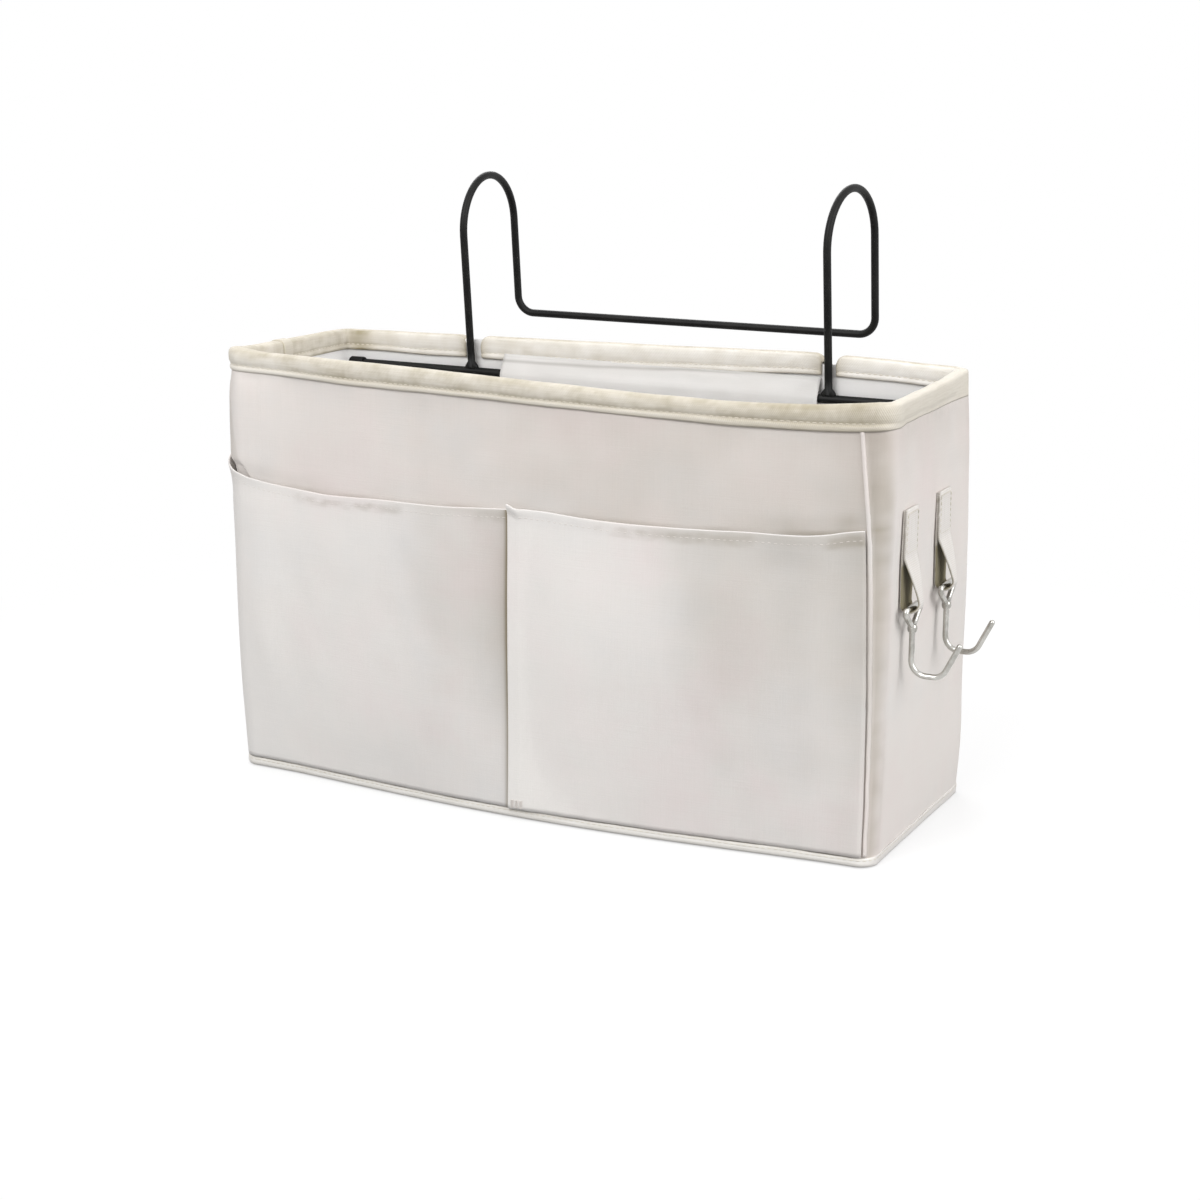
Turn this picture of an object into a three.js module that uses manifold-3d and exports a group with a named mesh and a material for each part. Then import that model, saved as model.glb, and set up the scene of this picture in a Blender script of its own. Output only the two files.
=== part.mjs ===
// Bedside caddy: a stiffened canvas box with two front pockets, a wire hanger for a bed rail
// and two small hooks in webbing tabs on its right end.
// Millimetres and degrees. X runs along the long walls, -Y is the pocket side, +Y the rail side, Z is up.
// The origin lies under the middle of the base.
import * as THREE from 'three';
import { mergeVertices, toCreasedNormals } from 'three/addons/utils/BufferGeometryUtils.js';
import Module from 'manifold-3d';

const wasm = await Module();
wasm.setup();

// Driving dimensions of the box. The rim is drawn in at the front and back and spread at the ends.
const baseWidth = 353;
const baseDepth = 131;
const height = 220;
const frontLean = 4;
const backLean = 21;
const sideFlare = 4;
const frontBelly = 11;
const innerCornerRadius = 1.6;

// The front rim sags between the corners, and most towards the right, where its binding is rolled down.
const rimSag = 4.6;
const rimSagSkew = 3;

// Layers of a wall, from the canvas inwards, and the space left between two layers.
const panelThickness = 1.2;
const boardThickness = 2;
const liningThickness = 0.8;
const clearance = 0.3;

// Tapes: the rolled binding over the rim, the binding round the foot and the lapped corner seams.
const bindingThickness = 1.4;
const bindingHeight = 12;
const bindingRoll = 0.6;
const notchWidth = 11;
const footBindingThickness = 1.1;
const footBindingHeight = 4.4;
const seamLapWidth = 3;
const seamLapThickness = 0.8;
const seamEdgeStep = 0.5;

// Front pockets: heights are above the floor, and the mouth sags between its sewn ends.
const pocketThickness = 1.1;
const pocketMouthHeight = 159;
const pocketMouthSag = 5;
const pocketPouch = 8;
const pocketHemHeight = 9;
const pocketHemThickness = 0.7;
const pocketDividerX = -9.5;
const pocketEdgeFold = 4;

// Wire hanger and the support bar it is welded to.
const hangerWireDiameter = 4;
const hookSpacing = 204;
const hangerShift = 8;
const railSpan = 55;
const hookRise = 100;
const backBarRise = 20.6;
const rightHookToe = 4.2;
const hangerBendRadius = 9;
const barDiameter = 4.5;
const barEndGap = 4.6;
const capBelowBinding = 2.7;
const capThickness = 0.7;
const capLength = 9;
const sleeveThickness = 0.8;
const sleeveLength = 180;
const sleeveShift = 15;
const sleeveFlange = 5;

// Webbing tabs on the right end, and the nickel hooks that hang in them.
const tabWidth = 20;
const tabThickness = 1.2;
const tabTopHeight = 168;
const tabSewnHeight = 145;
const tabLoopRadius = 3.2;
const tabLoopLength = 21.9;
const tabFrontY = -37;
const tabSpacing = 56;
const hookWireDiameter = 2.8;
const hookEyeWidth = 26;
const hookEyeSideGap = 0.7;
const hookEyeBendRadius = 1.8;
const hookEyeDrop = 10.5;
const hookCollarRadius = 2.2;
const hookCollarLength = 4;
const hookDrop = 33;
const hookFootWidth = 15;
const hookReach = 23;
const hookTipBelowEye = 17;
const hookBendRadius = 7;
const hookSwing = 80;

// Facets.
const frontSegments = 24;
const cornerSegments = 4;
const wireSides = 10;
const bendStep = 18;
const barSides = 16;
const loopSegments = 10;
const domeDegrees = [35, 70];
const creaseDegrees = 35;
const pocketSegments = 14;
const pocketLevels = 6;

// Sizes that follow from the driving dimensions.
const wallThickness = panelThickness + boardThickness + liningThickness + 2 * clearance;
const boardInset = panelThickness + clearance;
const liningInset = boardInset + boardThickness + clearance;
const bindingInset = wallThickness + clearance + bindingThickness;
const cornerRadius = innerCornerRadius + bindingInset + bindingRoll;
const halfWidth = baseWidth / 2;
const halfDepth = baseDepth / 2;
const cornerX = halfWidth - cornerRadius;
const cornerY = halfDepth - cornerRadius;
const wallTop = height - bindingThickness - clearance;
const bindingBottom = height - bindingHeight;
const boardBottom = panelThickness + clearance;
const liningBottom = boardBottom + boardThickness + clearance;
const liningWallBottom = liningBottom + liningThickness + clearance;

const colours = {
  canvas: { color: 0xe2ddd8, roughness: 0.95, metalness: 0 },
  lining: { color: 0xe8e8ea, roughness: 0.9, metalness: 0 },
  board: { color: 0xb8ae9c, roughness: 0.85, metalness: 0 },
  tape: { color: 0xd8cfbf, roughness: 0.95, metalness: 0 },
  webbing: { color: 0xe0dbd2, roughness: 0.9, metalness: 0 },
  blackWire: { color: 0x161616, roughness: 0.45, metalness: 0.1 },
  blackVinyl: { color: 0x0e0e0e, roughness: 0.6, metalness: 0 },
  nickel: { color: 0xc8c6bf, roughness: 0.22, metalness: 1 },
};

const caddy = new THREE.Group();

function addPart(name, geometry, look, parent = caddy) {
  const mesh = new THREE.Mesh(
    toCreasedNormals(geometry, THREE.MathUtils.degToRad(creaseDegrees)),
    new THREE.MeshStandardMaterial(colours[look]),
  );
  mesh.name = name;
  parent.add(mesh);
  return mesh;
}

// How far the front rim hangs below the corners.
function sagAt(sideways, y) {
  if (y > -cornerY) {
    return 0;
  }
  const along = (1 + sideways) / 2;
  return rimSag * Math.sin(Math.PI * along ** rimSagSkew);
}

// Carries a point of the upright box to its place in the drawn-in one.
// Each wall and its corners shear as one, so the layers keep their thickness.
function leaned(x, y, z) {
  const rise = z / height;
  const sideways = THREE.MathUtils.clamp(x / cornerX, -1, 1);
  const backwards = THREE.MathUtils.clamp((y + cornerY) / (2 * cornerY), 0, 1);
  const inBinding = THREE.MathUtils.clamp((z - bindingBottom) / bindingHeight, 0, 1);
  return new THREE.Vector3(
    x + sideways * sideFlare * rise,
    y + THREE.MathUtils.lerp(frontLean, -backLean, backwards) * rise,
    z - sagAt(sideways, y) * inBinding,
  );
}

function leanGeometry(geometry) {
  const position = geometry.getAttribute('position');
  for (let i = 0; i < position.count; i += 1) {
    const p = leaned(position.getX(i), position.getY(i), position.getZ(i));
    position.setXYZ(i, p.x, p.y, p.z);
  }
  return geometry;
}

// Stations on the plan outline of the canvas, counter-clockwise from above, each with its outward normal.
function frontStation(x) {
  const t = x / cornerX;
  const fall = Math.max(0, 1 - t * t);
  const slope = (3 * frontBelly * t * Math.sqrt(fall)) / cornerX;
  return {
    point: new THREE.Vector2(x, -halfDepth - frontBelly * fall ** 1.5),
    normal: new THREE.Vector2(slope, -1).normalize(),
  };
}

function frontStations(fromX, toX, segments = frontSegments) {
  const stations = [];
  for (let i = 0; i <= segments; i += 1) {
    stations.push(frontStation(THREE.MathUtils.lerp(fromX, toX, i / segments)));
  }
  return stations;
}

function cornerStations(centreX, centreY, fromDegrees) {
  const stations = [];
  for (let i = 0; i <= cornerSegments; i += 1) {
    const angle = THREE.MathUtils.degToRad(fromDegrees + (90 * i) / cornerSegments);
    const normal = new THREE.Vector2(Math.cos(angle), Math.sin(angle));
    const point = new THREE.Vector2(centreX, centreY).addScaledVector(normal, cornerRadius);
    stations.push({ point, normal });
  }
  return stations;
}

function backStation(x) {
  return { point: new THREE.Vector2(x, halfDepth), normal: new THREE.Vector2(0, 1) };
}

const rightEnd = [
  ...cornerStations(cornerX, -cornerY, -90),
  ...cornerStations(cornerX, cornerY, 0),
];
const leftEnd = [
  ...cornerStations(-cornerX, cornerY, 90),
  ...cornerStations(-cornerX, -cornerY, 180),
];
const frontRun = frontStations(-cornerX, cornerX);
const outline = [...frontRun.slice(1, -1), ...rightEnd, ...leftEnd];

// Closes a row of rings into one skin.
// A ring's points run counter-clockwise for someone looking along the row.
function skin(rings, capFaces, looped = false) {
  const count = rings[0].length;
  const positions = rings.flat().flatMap((p) => [p.x, p.y, p.z]);
  const index = [];
  const spans = looped ? rings.length : rings.length - 1;
  for (let i = 0; i < spans; i += 1) {
    const here = i * count;
    const next = ((i + 1) % rings.length) * count;
    for (let j = 0; j < count; j += 1) {
      const k = (j + 1) % count;
      index.push(here + j, next + j, here + k, here + k, next + j, next + k);
    }
  }
  if (!looped) {
    const last = (rings.length - 1) * count;
    const [startFaces, endFaces] = capFaces;
    index.push(...startFaces.flat());
    index.push(...endFaces.flatMap(([a, b, c]) => [last + a, last + c, last + b]));
  }
  const geometry = new THREE.BufferGeometry();
  geometry.setAttribute('position', new THREE.Float32BufferAttribute(positions, 3));
  geometry.setIndex(index);
  return geometry;
}

// Sweeps a section along stations. A section point is [distance out from the canvas face, height],
// counter-clockwise with "out" to the right.
function sweep(stations, sectionAt, looped = false) {
  const sections = stations.map((station, i) => sectionAt(station, i));
  const rings = stations.map(({ point, normal }, i) => sections[i].map(
    ([out, z]) => leaned(point.x + normal.x * out, point.y + normal.y * out, z),
  ));
  const capFaces = [sections[0], sections.at(-1)].map((section) => {
    const contour = section.map(([out, z]) => new THREE.Vector2(out, z));
    return THREE.ShapeUtils.triangulateShape(contour, []);
  });
  return skin(rings, capFaces, looped);
}

function slab(inner, outer, bottom, top) {
  return () => [[inner, bottom], [outer, bottom], [outer, top], [inner, top]];
}

// A flat plate that fills the plan outline, set in by a distance.
function plate(inset, bottom, thickness) {
  const corners = outline.map(({ point, normal }) => point.clone().addScaledVector(normal, -inset));
  const geometry = new THREE.ExtrudeGeometry(new THREE.Shape(corners), {
    depth: thickness,
    bevelEnabled: false,
  });
  return leanGeometry(geometry.translate(0, 0, bottom));
}

function corner(x, y, z, bend = 0) {
  return { at: new THREE.Vector3(x, y, z), bend };
}

// Turns a polyline with a bend radius at each corner into points along straight runs and arcs.
function routed(corners) {
  const points = [corners[0].at.clone()];
  for (let i = 1; i < corners.length - 1; i += 1) {
    const { at, bend } = corners[i];
    const back = corners[i - 1].at.clone().sub(at).normalize();
    const ahead = corners[i + 1].at.clone().sub(at).normalize();
    const turn = Math.PI - back.angleTo(ahead);
    const tangent = bend * Math.tan(turn / 2);
    const start = at.clone().addScaledVector(back, tangent);
    const toCentre = back.clone().add(ahead).normalize();
    const centre = at.clone().addScaledVector(toCentre, bend / Math.cos(turn / 2));
    const axis = back.clone().cross(ahead).normalize();
    const steps = Math.max(2, Math.ceil(turn / THREE.MathUtils.degToRad(bendStep)));
    for (let j = 0; j <= steps; j += 1) {
      const spoke = start.clone().sub(centre).applyAxisAngle(axis, (-turn * j) / steps);
      points.push(centre.clone().add(spoke));
    }
  }
  points.push(corners.at(-1).at.clone());
  const leastStep = 1e-3;
  return points.filter((p, i) => i === 0 || p.distanceTo(points[i - 1]) > leastStep);
}

// A round wire along points, with a domed end where asked.
function wire(points, radius, domedEnd = false) {
  const last = points.length - 1;
  const tangents = points.map((p, i) => points[Math.min(i + 1, last)].clone()
    .sub(points[Math.max(i - 1, 0)]).normalize());
  const upright = Math.abs(tangents[0].z) > Math.abs(tangents[0].x);
  const lead = upright ? new THREE.Vector3(1, 0, 0) : new THREE.Vector3(0, 0, 1);
  let side = lead.cross(tangents[0]).normalize();
  const ringAt = (centre, tangent, r) => {
    side = side.clone().addScaledVector(tangent, -side.dot(tangent)).normalize();
    const up = tangent.clone().cross(side);
    const ring = [];
    for (let j = 0; j < wireSides; j += 1) {
      const angle = (-2 * Math.PI * j) / wireSides;
      const spoke = side.clone().multiplyScalar(Math.cos(angle)).addScaledVector(up, Math.sin(angle));
      ring.push(spoke.multiplyScalar(r).add(centre));
    }
    return ring;
  };
  const rings = points.map((p, i) => ringAt(p, tangents[i], radius));
  if (domedEnd) {
    for (const degrees of domeDegrees) {
      const angle = THREE.MathUtils.degToRad(degrees);
      const centre = points[last].clone().addScaledVector(tangents[last], radius * Math.sin(angle));
      rings.push(ringAt(centre, tangents[last], radius * Math.cos(angle)));
    }
  }
  const fan = [];
  for (let j = 1; j < wireSides - 1; j += 1) {
    fan.push([0, j, j + 1]);
  }
  return skin(rings, [fan, fan]);
}

function solidOf(geometry) {
  const bare = new THREE.BufferGeometry();
  bare.setAttribute('position', geometry.getAttribute('position').clone());
  bare.setIndex(geometry.index);
  const merged = mergeVertices(bare);
  return new wasm.Manifold(new wasm.Mesh({
    numProp: 3,
    vertProperties: merged.getAttribute('position').array,
    triVerts: new Uint32Array(merged.index.array),
  }));
}

function united(...geometries) {
  const mesh = geometries.map(solidOf).reduce((a, b) => a.add(b)).getMesh();
  const geometry = new THREE.BufferGeometry();
  geometry.setAttribute('position', new THREE.Float32BufferAttribute(mesh.vertProperties, 3));
  geometry.setIndex([...mesh.triVerts]);
  return geometry;
}

// Canvas: the end panels carry the corners. The front panel's two upright edges are lapped
// in a raised seam that runs from the foot binding up to the rim binding.
const panelEndX = cornerX - clearance;
const lapStartX = panelEndX - seamLapWidth;

function buildPanels() {
  const lapBottom = footBindingHeight + clearance;
  const lapTop = bindingBottom - clearance;
  const stations = [
    frontStation(-panelEndX),
    frontStation(-lapStartX),
    ...frontStations(-lapStartX + seamEdgeStep, lapStartX - seamEdgeStep),
    frontStation(lapStartX),
    frontStation(panelEndX),
  ];
  const front = sweep(stations, (station, i) => {
    const lapped = i < 2 || i > stations.length - 3;
    const face = lapped ? seamLapThickness : 0;
    return [
      [-panelThickness, boardBottom],
      [0, boardBottom],
      [0, lapBottom],
      [face, lapBottom + seamEdgeStep],
      [face, lapTop - seamEdgeStep],
      [0, lapTop],
      [0, wallTop],
      [-panelThickness, wallTop],
    ];
  });
  const plain = slab(-panelThickness, 0, boardBottom, wallTop);
  addPart('front_panel', front, 'canvas');
  addPart('right_side_panel', sweep(rightEnd, plain), 'canvas');
  addPart('back_panel', sweep([backStation(panelEndX), backStation(-panelEndX)], plain), 'canvas');
  addPart('left_side_panel', sweep(leftEnd, plain), 'canvas');
  addPart('bottom_panel', plate(0, 0, panelThickness), 'canvas');
}

// Stiffening boards: flat in the ends, the back and the base, bent to the belly in the front.
function buildBoards() {
  const board = slab(-boardInset - boardThickness, -boardInset, liningBottom, wallTop);
  const straightOf = (end) => end.slice(cornerSegments, cornerSegments + 2);
  addPart('front_board', sweep(frontStations(-panelEndX, panelEndX), board), 'board');
  addPart('right_board', sweep(straightOf(rightEnd), board), 'board');
  addPart('back_board', sweep([backStation(panelEndX), backStation(-panelEndX)], board), 'board');
  addPart('left_board', sweep(straightOf(leftEnd), board), 'board');
  addPart('bottom_board', plate(boardInset, boardBottom, boardThickness), 'board');
}

function buildLining() {
  const cloth = slab(-wallThickness, -liningInset, liningWallBottom, wallTop);
  addPart('front_lining', sweep(frontStations(-panelEndX, panelEndX), cloth), 'lining');
  addPart('right_lining', sweep(rightEnd, cloth), 'lining');
  addPart('back_lining', sweep([backStation(panelEndX), backStation(-panelEndX)], cloth), 'lining');
  addPart('left_lining', sweep(leftEnd, cloth), 'lining');
  addPart('bottom_lining', plate(liningInset, liningBottom, liningThickness), 'lining');
}

// The rim binding is a rolled tape over all the layers. It stops on each side of the hanger's legs.
const hangerLegXs = [hangerShift - hookSpacing / 2, hangerShift + hookSpacing / 2];

function rimSection() {
  const outer = clearance + bindingThickness;
  const edge = bindingThickness;
  const middle = height - bindingHeight / 2;
  return [
    [clearance, bindingBottom],
    [outer, bindingBottom],
    [outer + bindingRoll, middle],
    [outer, height - edge],
    [outer - edge, height],
    [-bindingInset + edge, height],
    [-bindingInset, height - edge],
    [-bindingInset - bindingRoll, middle],
    [-bindingInset, bindingBottom],
    [-bindingInset + bindingThickness, bindingBottom],
    [-bindingInset + bindingThickness, height - bindingThickness],
    [clearance, height - bindingThickness],
  ];
}

function buildBindings() {
  const spread = 1 + sideFlare / cornerX;
  const [leftLeg, rightLeg] = hangerLegXs.map((x) => x / spread);
  const halfNotch = notchWidth / 2;
  const roundFront = [
    backStation(leftLeg - halfNotch),
    ...leftEnd,
    ...frontRun.slice(1, -1),
    ...rightEnd,
    backStation(rightLeg + halfNotch),
  ];
  const betweenLegs = [backStation(rightLeg - halfNotch), backStation(leftLeg + halfNotch)];
  const foot = slab(clearance, clearance + footBindingThickness, 0, footBindingHeight);
  addPart('rim_binding', sweep(roundFront, rimSection), 'tape');
  addPart('back_rim_binding', sweep(betweenLegs, rimSection), 'tape');
  addPart('base_binding', sweep(outline, foot, true), 'tape');
}

// A patch pocket is sewn along its foot and both upright edges. Its cloth stands off the wall
// towards the mouth, which has a folded hem and sags between its ends.
function pocket(fromX, toX, foldedEdge) {
  const bottom = footBindingHeight + clearance;
  const foldEndX = fromX + (foldedEdge ? pocketEdgeFold : 0);
  const stations = [
    ...(foldedEdge ? [frontStation(fromX), frontStation(foldEndX)] : []),
    ...frontStations(foldEndX + (foldedEdge ? seamEdgeStep : 0), toX, pocketSegments),
  ];
  return sweep(stations, ({ point }, i) => {
    const across = (point.x - fromX) / (toX - fromX);
    const offMiddle = 2 * across - 1;
    const slack = 1 - offMiddle ** 4;
    const mouth = pocketMouthHeight - pocketMouthSag * (1 - offMiddle ** 2);
    const hem = mouth - pocketHemHeight;
    const fold = foldedEdge && i < 2 ? pocketHemThickness : 0;
    const standOff = (z) => {
      const up = (z - bottom) / (mouth - bottom);
      return clearance + pocketPouch * slack * Math.sin((up * Math.PI) / 2) ** 2;
    };
    const inside = [];
    const outside = [];
    for (let k = 0; k <= pocketLevels; k += 1) {
      const z = THREE.MathUtils.lerp(bottom, hem, k / pocketLevels);
      inside.push([standOff(z), z]);
      outside.push([standOff(z) + pocketThickness + fold, z]);
    }
    const hemFace = pocketThickness + Math.max(fold, pocketHemThickness);
    outside.push([standOff(hem + seamEdgeStep) + hemFace, hem + seamEdgeStep]);
    outside.push([standOff(mouth) + hemFace, mouth]);
    inside.push([standOff(mouth), mouth]);
    return [...outside, ...inside.reverse()];
  });
}

function buildPockets() {
  const outerEndX = lapStartX - seamEdgeStep - clearance;
  addPart('left_pocket', pocket(-outerEndX, pocketDividerX - clearance / 2, false), 'canvas');
  addPart('right_pocket', pocket(pocketDividerX + clearance / 2, outerEndX, true), 'canvas');
}

// The hanger's frame stands on the support bar's axis and leans with the back wall:
// local Z runs up along the wall and local Y points back through it.
const barRadius = barDiameter / 2;
const capRadius = barRadius + clearance + capThickness;
const barStandOff = capRadius + clearance;
const barDepth = capRadius + capBelowBinding;
const barHeight = bindingBottom - barDepth;
const wallLean = Math.atan2(backLean, height);

function buildHanger() {
  const frame = new THREE.Group();
  frame.position.copy(leaned(0, halfDepth - wallThickness, barHeight));
  frame.rotation.x = wallLean;
  frame.translateY(-barStandOff);
  caddy.add(frame);

  const [leftX, rightX] = hangerLegXs;
  const rightBackX = rightX + rightHookToe;
  const legFoot = barRadius + clearance;
  const arch = railSpan / 2;
  const route = routed([
    corner(leftX, 0, legFoot),
    corner(leftX, 0, hookRise, arch),
    corner(leftX, railSpan, hookRise, arch),
    corner(leftX, railSpan, backBarRise, hangerBendRadius),
    corner(rightBackX, railSpan, backBarRise, hangerBendRadius),
    corner(rightBackX, railSpan, hookRise, arch),
    corner(rightX, 0, hookRise, arch),
    corner(rightX, 0, legFoot),
  ]);
  addPart('hanger_wire', wire(route, hangerWireDiameter / 2), 'blackWire', frame);

  const wallX = halfWidth - wallThickness + (sideFlare * barHeight) / height;
  const capEndX = wallX - barEndGap;
  const barEndX = capEndX - capThickness - clearance;
  const bar = new THREE.CylinderGeometry(barRadius, barRadius, 2 * barEndX, barSides);
  addPart('support_bar', bar.rotateZ(Math.PI / 2), 'blackWire', frame);

  const boreRadius = barRadius + clearance;
  const cup = [
    [0, 0],
    [capRadius, 0],
    [capRadius, capLength],
    [boreRadius, capLength],
    [boreRadius, capThickness],
    [0, capThickness],
  ].map(([r, along]) => new THREE.Vector2(r, along));
  for (const [name, side] of [['bar_cap_right', 1], ['bar_cap_left', -1]]) {
    const cap = new THREE.LatheGeometry(cup, barSides).rotateZ((side * Math.PI) / 2);
    addPart(name, cap.translate(side * capEndX, 0, 0), 'blackVinyl', frame);
  }

  addPart('bar_sleeve', sleeve(), 'lining', frame);
}

// The sleeve is a strip of lining cloth sewn to the back lining below the bar and,
// above it, just under the binding.
function sleeve() {
  const inner = barRadius + clearance;
  const outer = inner + sleeveThickness;
  const back = barStandOff - clearance;
  const front = back - sleeveThickness;
  const top = barDepth - clearance;
  const bottom = -outer - sleeveFlange;
  const shape = new THREE.Shape();
  shape.moveTo(back, bottom);
  shape.lineTo(back, -inner);
  shape.lineTo(0, -inner);
  shape.absarc(0, 0, inner, -Math.PI / 2, Math.PI / 2, true);
  shape.lineTo(back, inner);
  shape.lineTo(back, top);
  shape.lineTo(front, top);
  shape.lineTo(front, outer);
  shape.lineTo(0, outer);
  shape.absarc(0, 0, outer, Math.PI / 2, -Math.PI / 2, false);
  shape.lineTo(front, -outer);
  shape.lineTo(front, bottom);
  shape.closePath();
  const geometry = new THREE.ExtrudeGeometry(shape, {
    depth: sleeveLength,
    bevelEnabled: false,
    curveSegments: loopSegments,
  });
  const alongX = new THREE.Matrix4().makeBasis(
    new THREE.Vector3(0, 1, 0),
    new THREE.Vector3(0, 0, 1),
    new THREE.Vector3(1, 0, 0),
  );
  return geometry.applyMatrix4(alongX).translate(sleeveShift - sleeveLength / 2, 0, 0);
}

// A webbing tab: two plies sewn flat at the top, then a loop whose back ply lies on the end wall
// and whose front ply slants out round the hook's eye.
const hookWireRadius = hookWireDiameter / 2;
const loopCentreOut = clearance + tabThickness + tabLoopRadius;
const loopCentreZ = tabSewnHeight - tabLoopLength;
const hookEyeZ = loopCentreZ - tabLoopRadius + clearance + hookWireRadius;
const eyeHalf = hookEyeWidth / 2;

// The webbing gathers from its full width at the stitching to what the eye's slanting legs leave free
// all the way through the hook's outward swing.
function gatheredWidth() {
  const loopAboveEye = loopCentreZ - hookEyeZ;
  const upwards = -loopAboveEye * Math.cos(THREE.MathUtils.degToRad(hookSwing));
  const sideways = loopAboveEye * Math.sin(THREE.MathUtils.degToRad(hookSwing));
  const loopReach = upwards + Math.sqrt((tabLoopRadius + tabThickness) ** 2 - sideways ** 2);
  const legSlant = hookEyeDrop / Math.hypot(eyeHalf, hookEyeDrop);
  const legInside = eyeHalf * (1 - loopReach / hookEyeDrop) - hookWireRadius / legSlant;
  return 2 * (legInside - hookEyeSideGap);
}

function gather(geometry) {
  const position = geometry.getAttribute('position');
  const least = gatheredWidth() / tabWidth;
  for (let i = 0; i < position.count; i += 1) {
    const down = (tabSewnHeight - position.getZ(i)) / (tabSewnHeight - loopCentreZ);
    const share = THREE.MathUtils.lerp(1, least, THREE.MathUtils.clamp(down, 0, 1));
    position.setY(i, position.getY(i) * share);
  }
  return geometry;
}

function tab(middleY) {
  const back = clearance;
  const foldLine = back + tabThickness;
  const outerRadius = tabLoopRadius + tabThickness;
  const toFold = Math.atan2(tabLoopLength, foldLine - loopCentreOut);
  const frontTangent = 2 * toFold - Math.PI;
  const alongPly = new THREE.Vector2(Math.cos(frontTangent), Math.sin(frontTangent));
  const shape = new THREE.Shape();
  shape.moveTo(back, tabTopHeight);
  shape.lineTo(back, tabSewnHeight);
  shape.lineTo(back, loopCentreZ);
  shape.absarc(loopCentreOut, loopCentreZ, outerRadius, Math.PI, 2 * Math.PI + frontTangent, false);
  shape.lineTo(foldLine + alongPly.x * tabThickness, tabSewnHeight + alongPly.y * tabThickness);
  shape.lineTo(foldLine + tabThickness, tabTopHeight);
  shape.closePath();
  const loop = new THREE.Path();
  loop.moveTo(foldLine, tabSewnHeight);
  loop.lineTo(foldLine, loopCentreZ);
  loop.absarc(loopCentreOut, loopCentreZ, tabLoopRadius, Math.PI, 2 * Math.PI + frontTangent, false);
  loop.closePath();
  shape.holes.push(loop);
  const geometry = new THREE.ExtrudeGeometry(shape, {
    depth: tabWidth,
    bevelEnabled: false,
    curveSegments: loopSegments,
  });
  const towardsFront = new THREE.Matrix4().makeBasis(
    new THREE.Vector3(1, 0, 0),
    new THREE.Vector3(0, 0, 1),
    new THREE.Vector3(0, -1, 0),
  );
  gather(geometry.applyMatrix4(towardsFront).translate(halfWidth, tabWidth / 2, 0));
  return leanGeometry(geometry.translate(0, middleY, 0));
}

// A nickel hook: a three-sided eye through the tab, a collar,
// and a shank that turns out and up to a domed tip.
function hook() {
  const eye = routed([
    corner(0, 0, -hookEyeDrop),
    corner(0, -eyeHalf, 0, hookEyeBendRadius),
    corner(0, eyeHalf, 0, hookEyeBendRadius),
    corner(0, 0, -hookEyeDrop),
  ]);
  const shank = routed([
    corner(0, 0, -hookEyeDrop),
    corner(0, 0, -hookDrop, hookBendRadius),
    corner(hookFootWidth, 0, -hookDrop, hookBendRadius),
    corner(hookReach, 0, -hookTipBelowEye),
  ]);
  const collar = new THREE.CylinderGeometry(hookCollarRadius, hookCollarRadius, hookCollarLength, barSides)
    .rotateX(Math.PI / 2)
    .translate(0, 0, -hookEyeDrop);
  return united(wire(eye, hookWireRadius), wire(shank, hookWireRadius, true), collar);
}

function buildSideHooks() {
  for (const [place, middleY] of [['front', tabFrontY], ['rear', tabFrontY + tabSpacing]]) {
    addPart(`${place}_hook_tab`, tab(middleY), 'webbing');
    const mesh = addPart(`${place}_hook`, hook(), 'nickel');
    mesh.position.copy(leaned(halfWidth + loopCentreOut, middleY, hookEyeZ));
  }
}

buildPanels();
buildBoards();
buildLining();
buildBindings();
buildPockets();
buildHanger();
buildSideHooks();

export default caddy;
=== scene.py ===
"""Looks of the bedside caddy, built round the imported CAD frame."""
import math

import bpy
import numpy as np
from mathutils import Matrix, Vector, noise


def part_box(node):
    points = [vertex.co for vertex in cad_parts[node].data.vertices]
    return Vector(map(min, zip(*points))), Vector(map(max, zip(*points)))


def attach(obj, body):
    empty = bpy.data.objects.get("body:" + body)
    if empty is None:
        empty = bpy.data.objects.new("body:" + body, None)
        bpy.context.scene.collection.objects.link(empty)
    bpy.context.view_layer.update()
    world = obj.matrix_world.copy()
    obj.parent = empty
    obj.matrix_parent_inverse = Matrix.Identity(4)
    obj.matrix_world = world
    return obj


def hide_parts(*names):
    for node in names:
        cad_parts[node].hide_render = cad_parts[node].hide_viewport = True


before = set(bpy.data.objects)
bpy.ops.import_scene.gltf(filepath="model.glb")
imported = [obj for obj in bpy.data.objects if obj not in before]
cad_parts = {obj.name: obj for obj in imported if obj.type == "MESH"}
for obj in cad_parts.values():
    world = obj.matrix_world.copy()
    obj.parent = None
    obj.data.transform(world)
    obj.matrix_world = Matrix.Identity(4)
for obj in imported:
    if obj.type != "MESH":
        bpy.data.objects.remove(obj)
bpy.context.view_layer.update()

MM = 0.001

# The box, in millimetres, as the CAD model has it.
HEIGHT = 220.0
HALF_WIDTH = 176.5
HALF_DEPTH = 65.5
CORNER_RADIUS = 8.5
CORNER_X = HALF_WIDTH - CORNER_RADIUS
CORNER_Y = HALF_DEPTH - CORNER_RADIUS
FRONT_BELLY = 11.0
FRONT_LEAN = 4.0
BACK_LEAN = 21.0
SIDE_FLARE = 4.0
RIM_SPREAD = 1 + SIDE_FLARE / CORNER_X
RIM_SAG, RIM_SAG_SKEW = 4.6, 3
WALL = 4.6
WALL_TOP = 218.3
BINDING = 12.0
FOOT_BAND = 4.6
CANVAS = 0.7
LINING = 0.35

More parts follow.
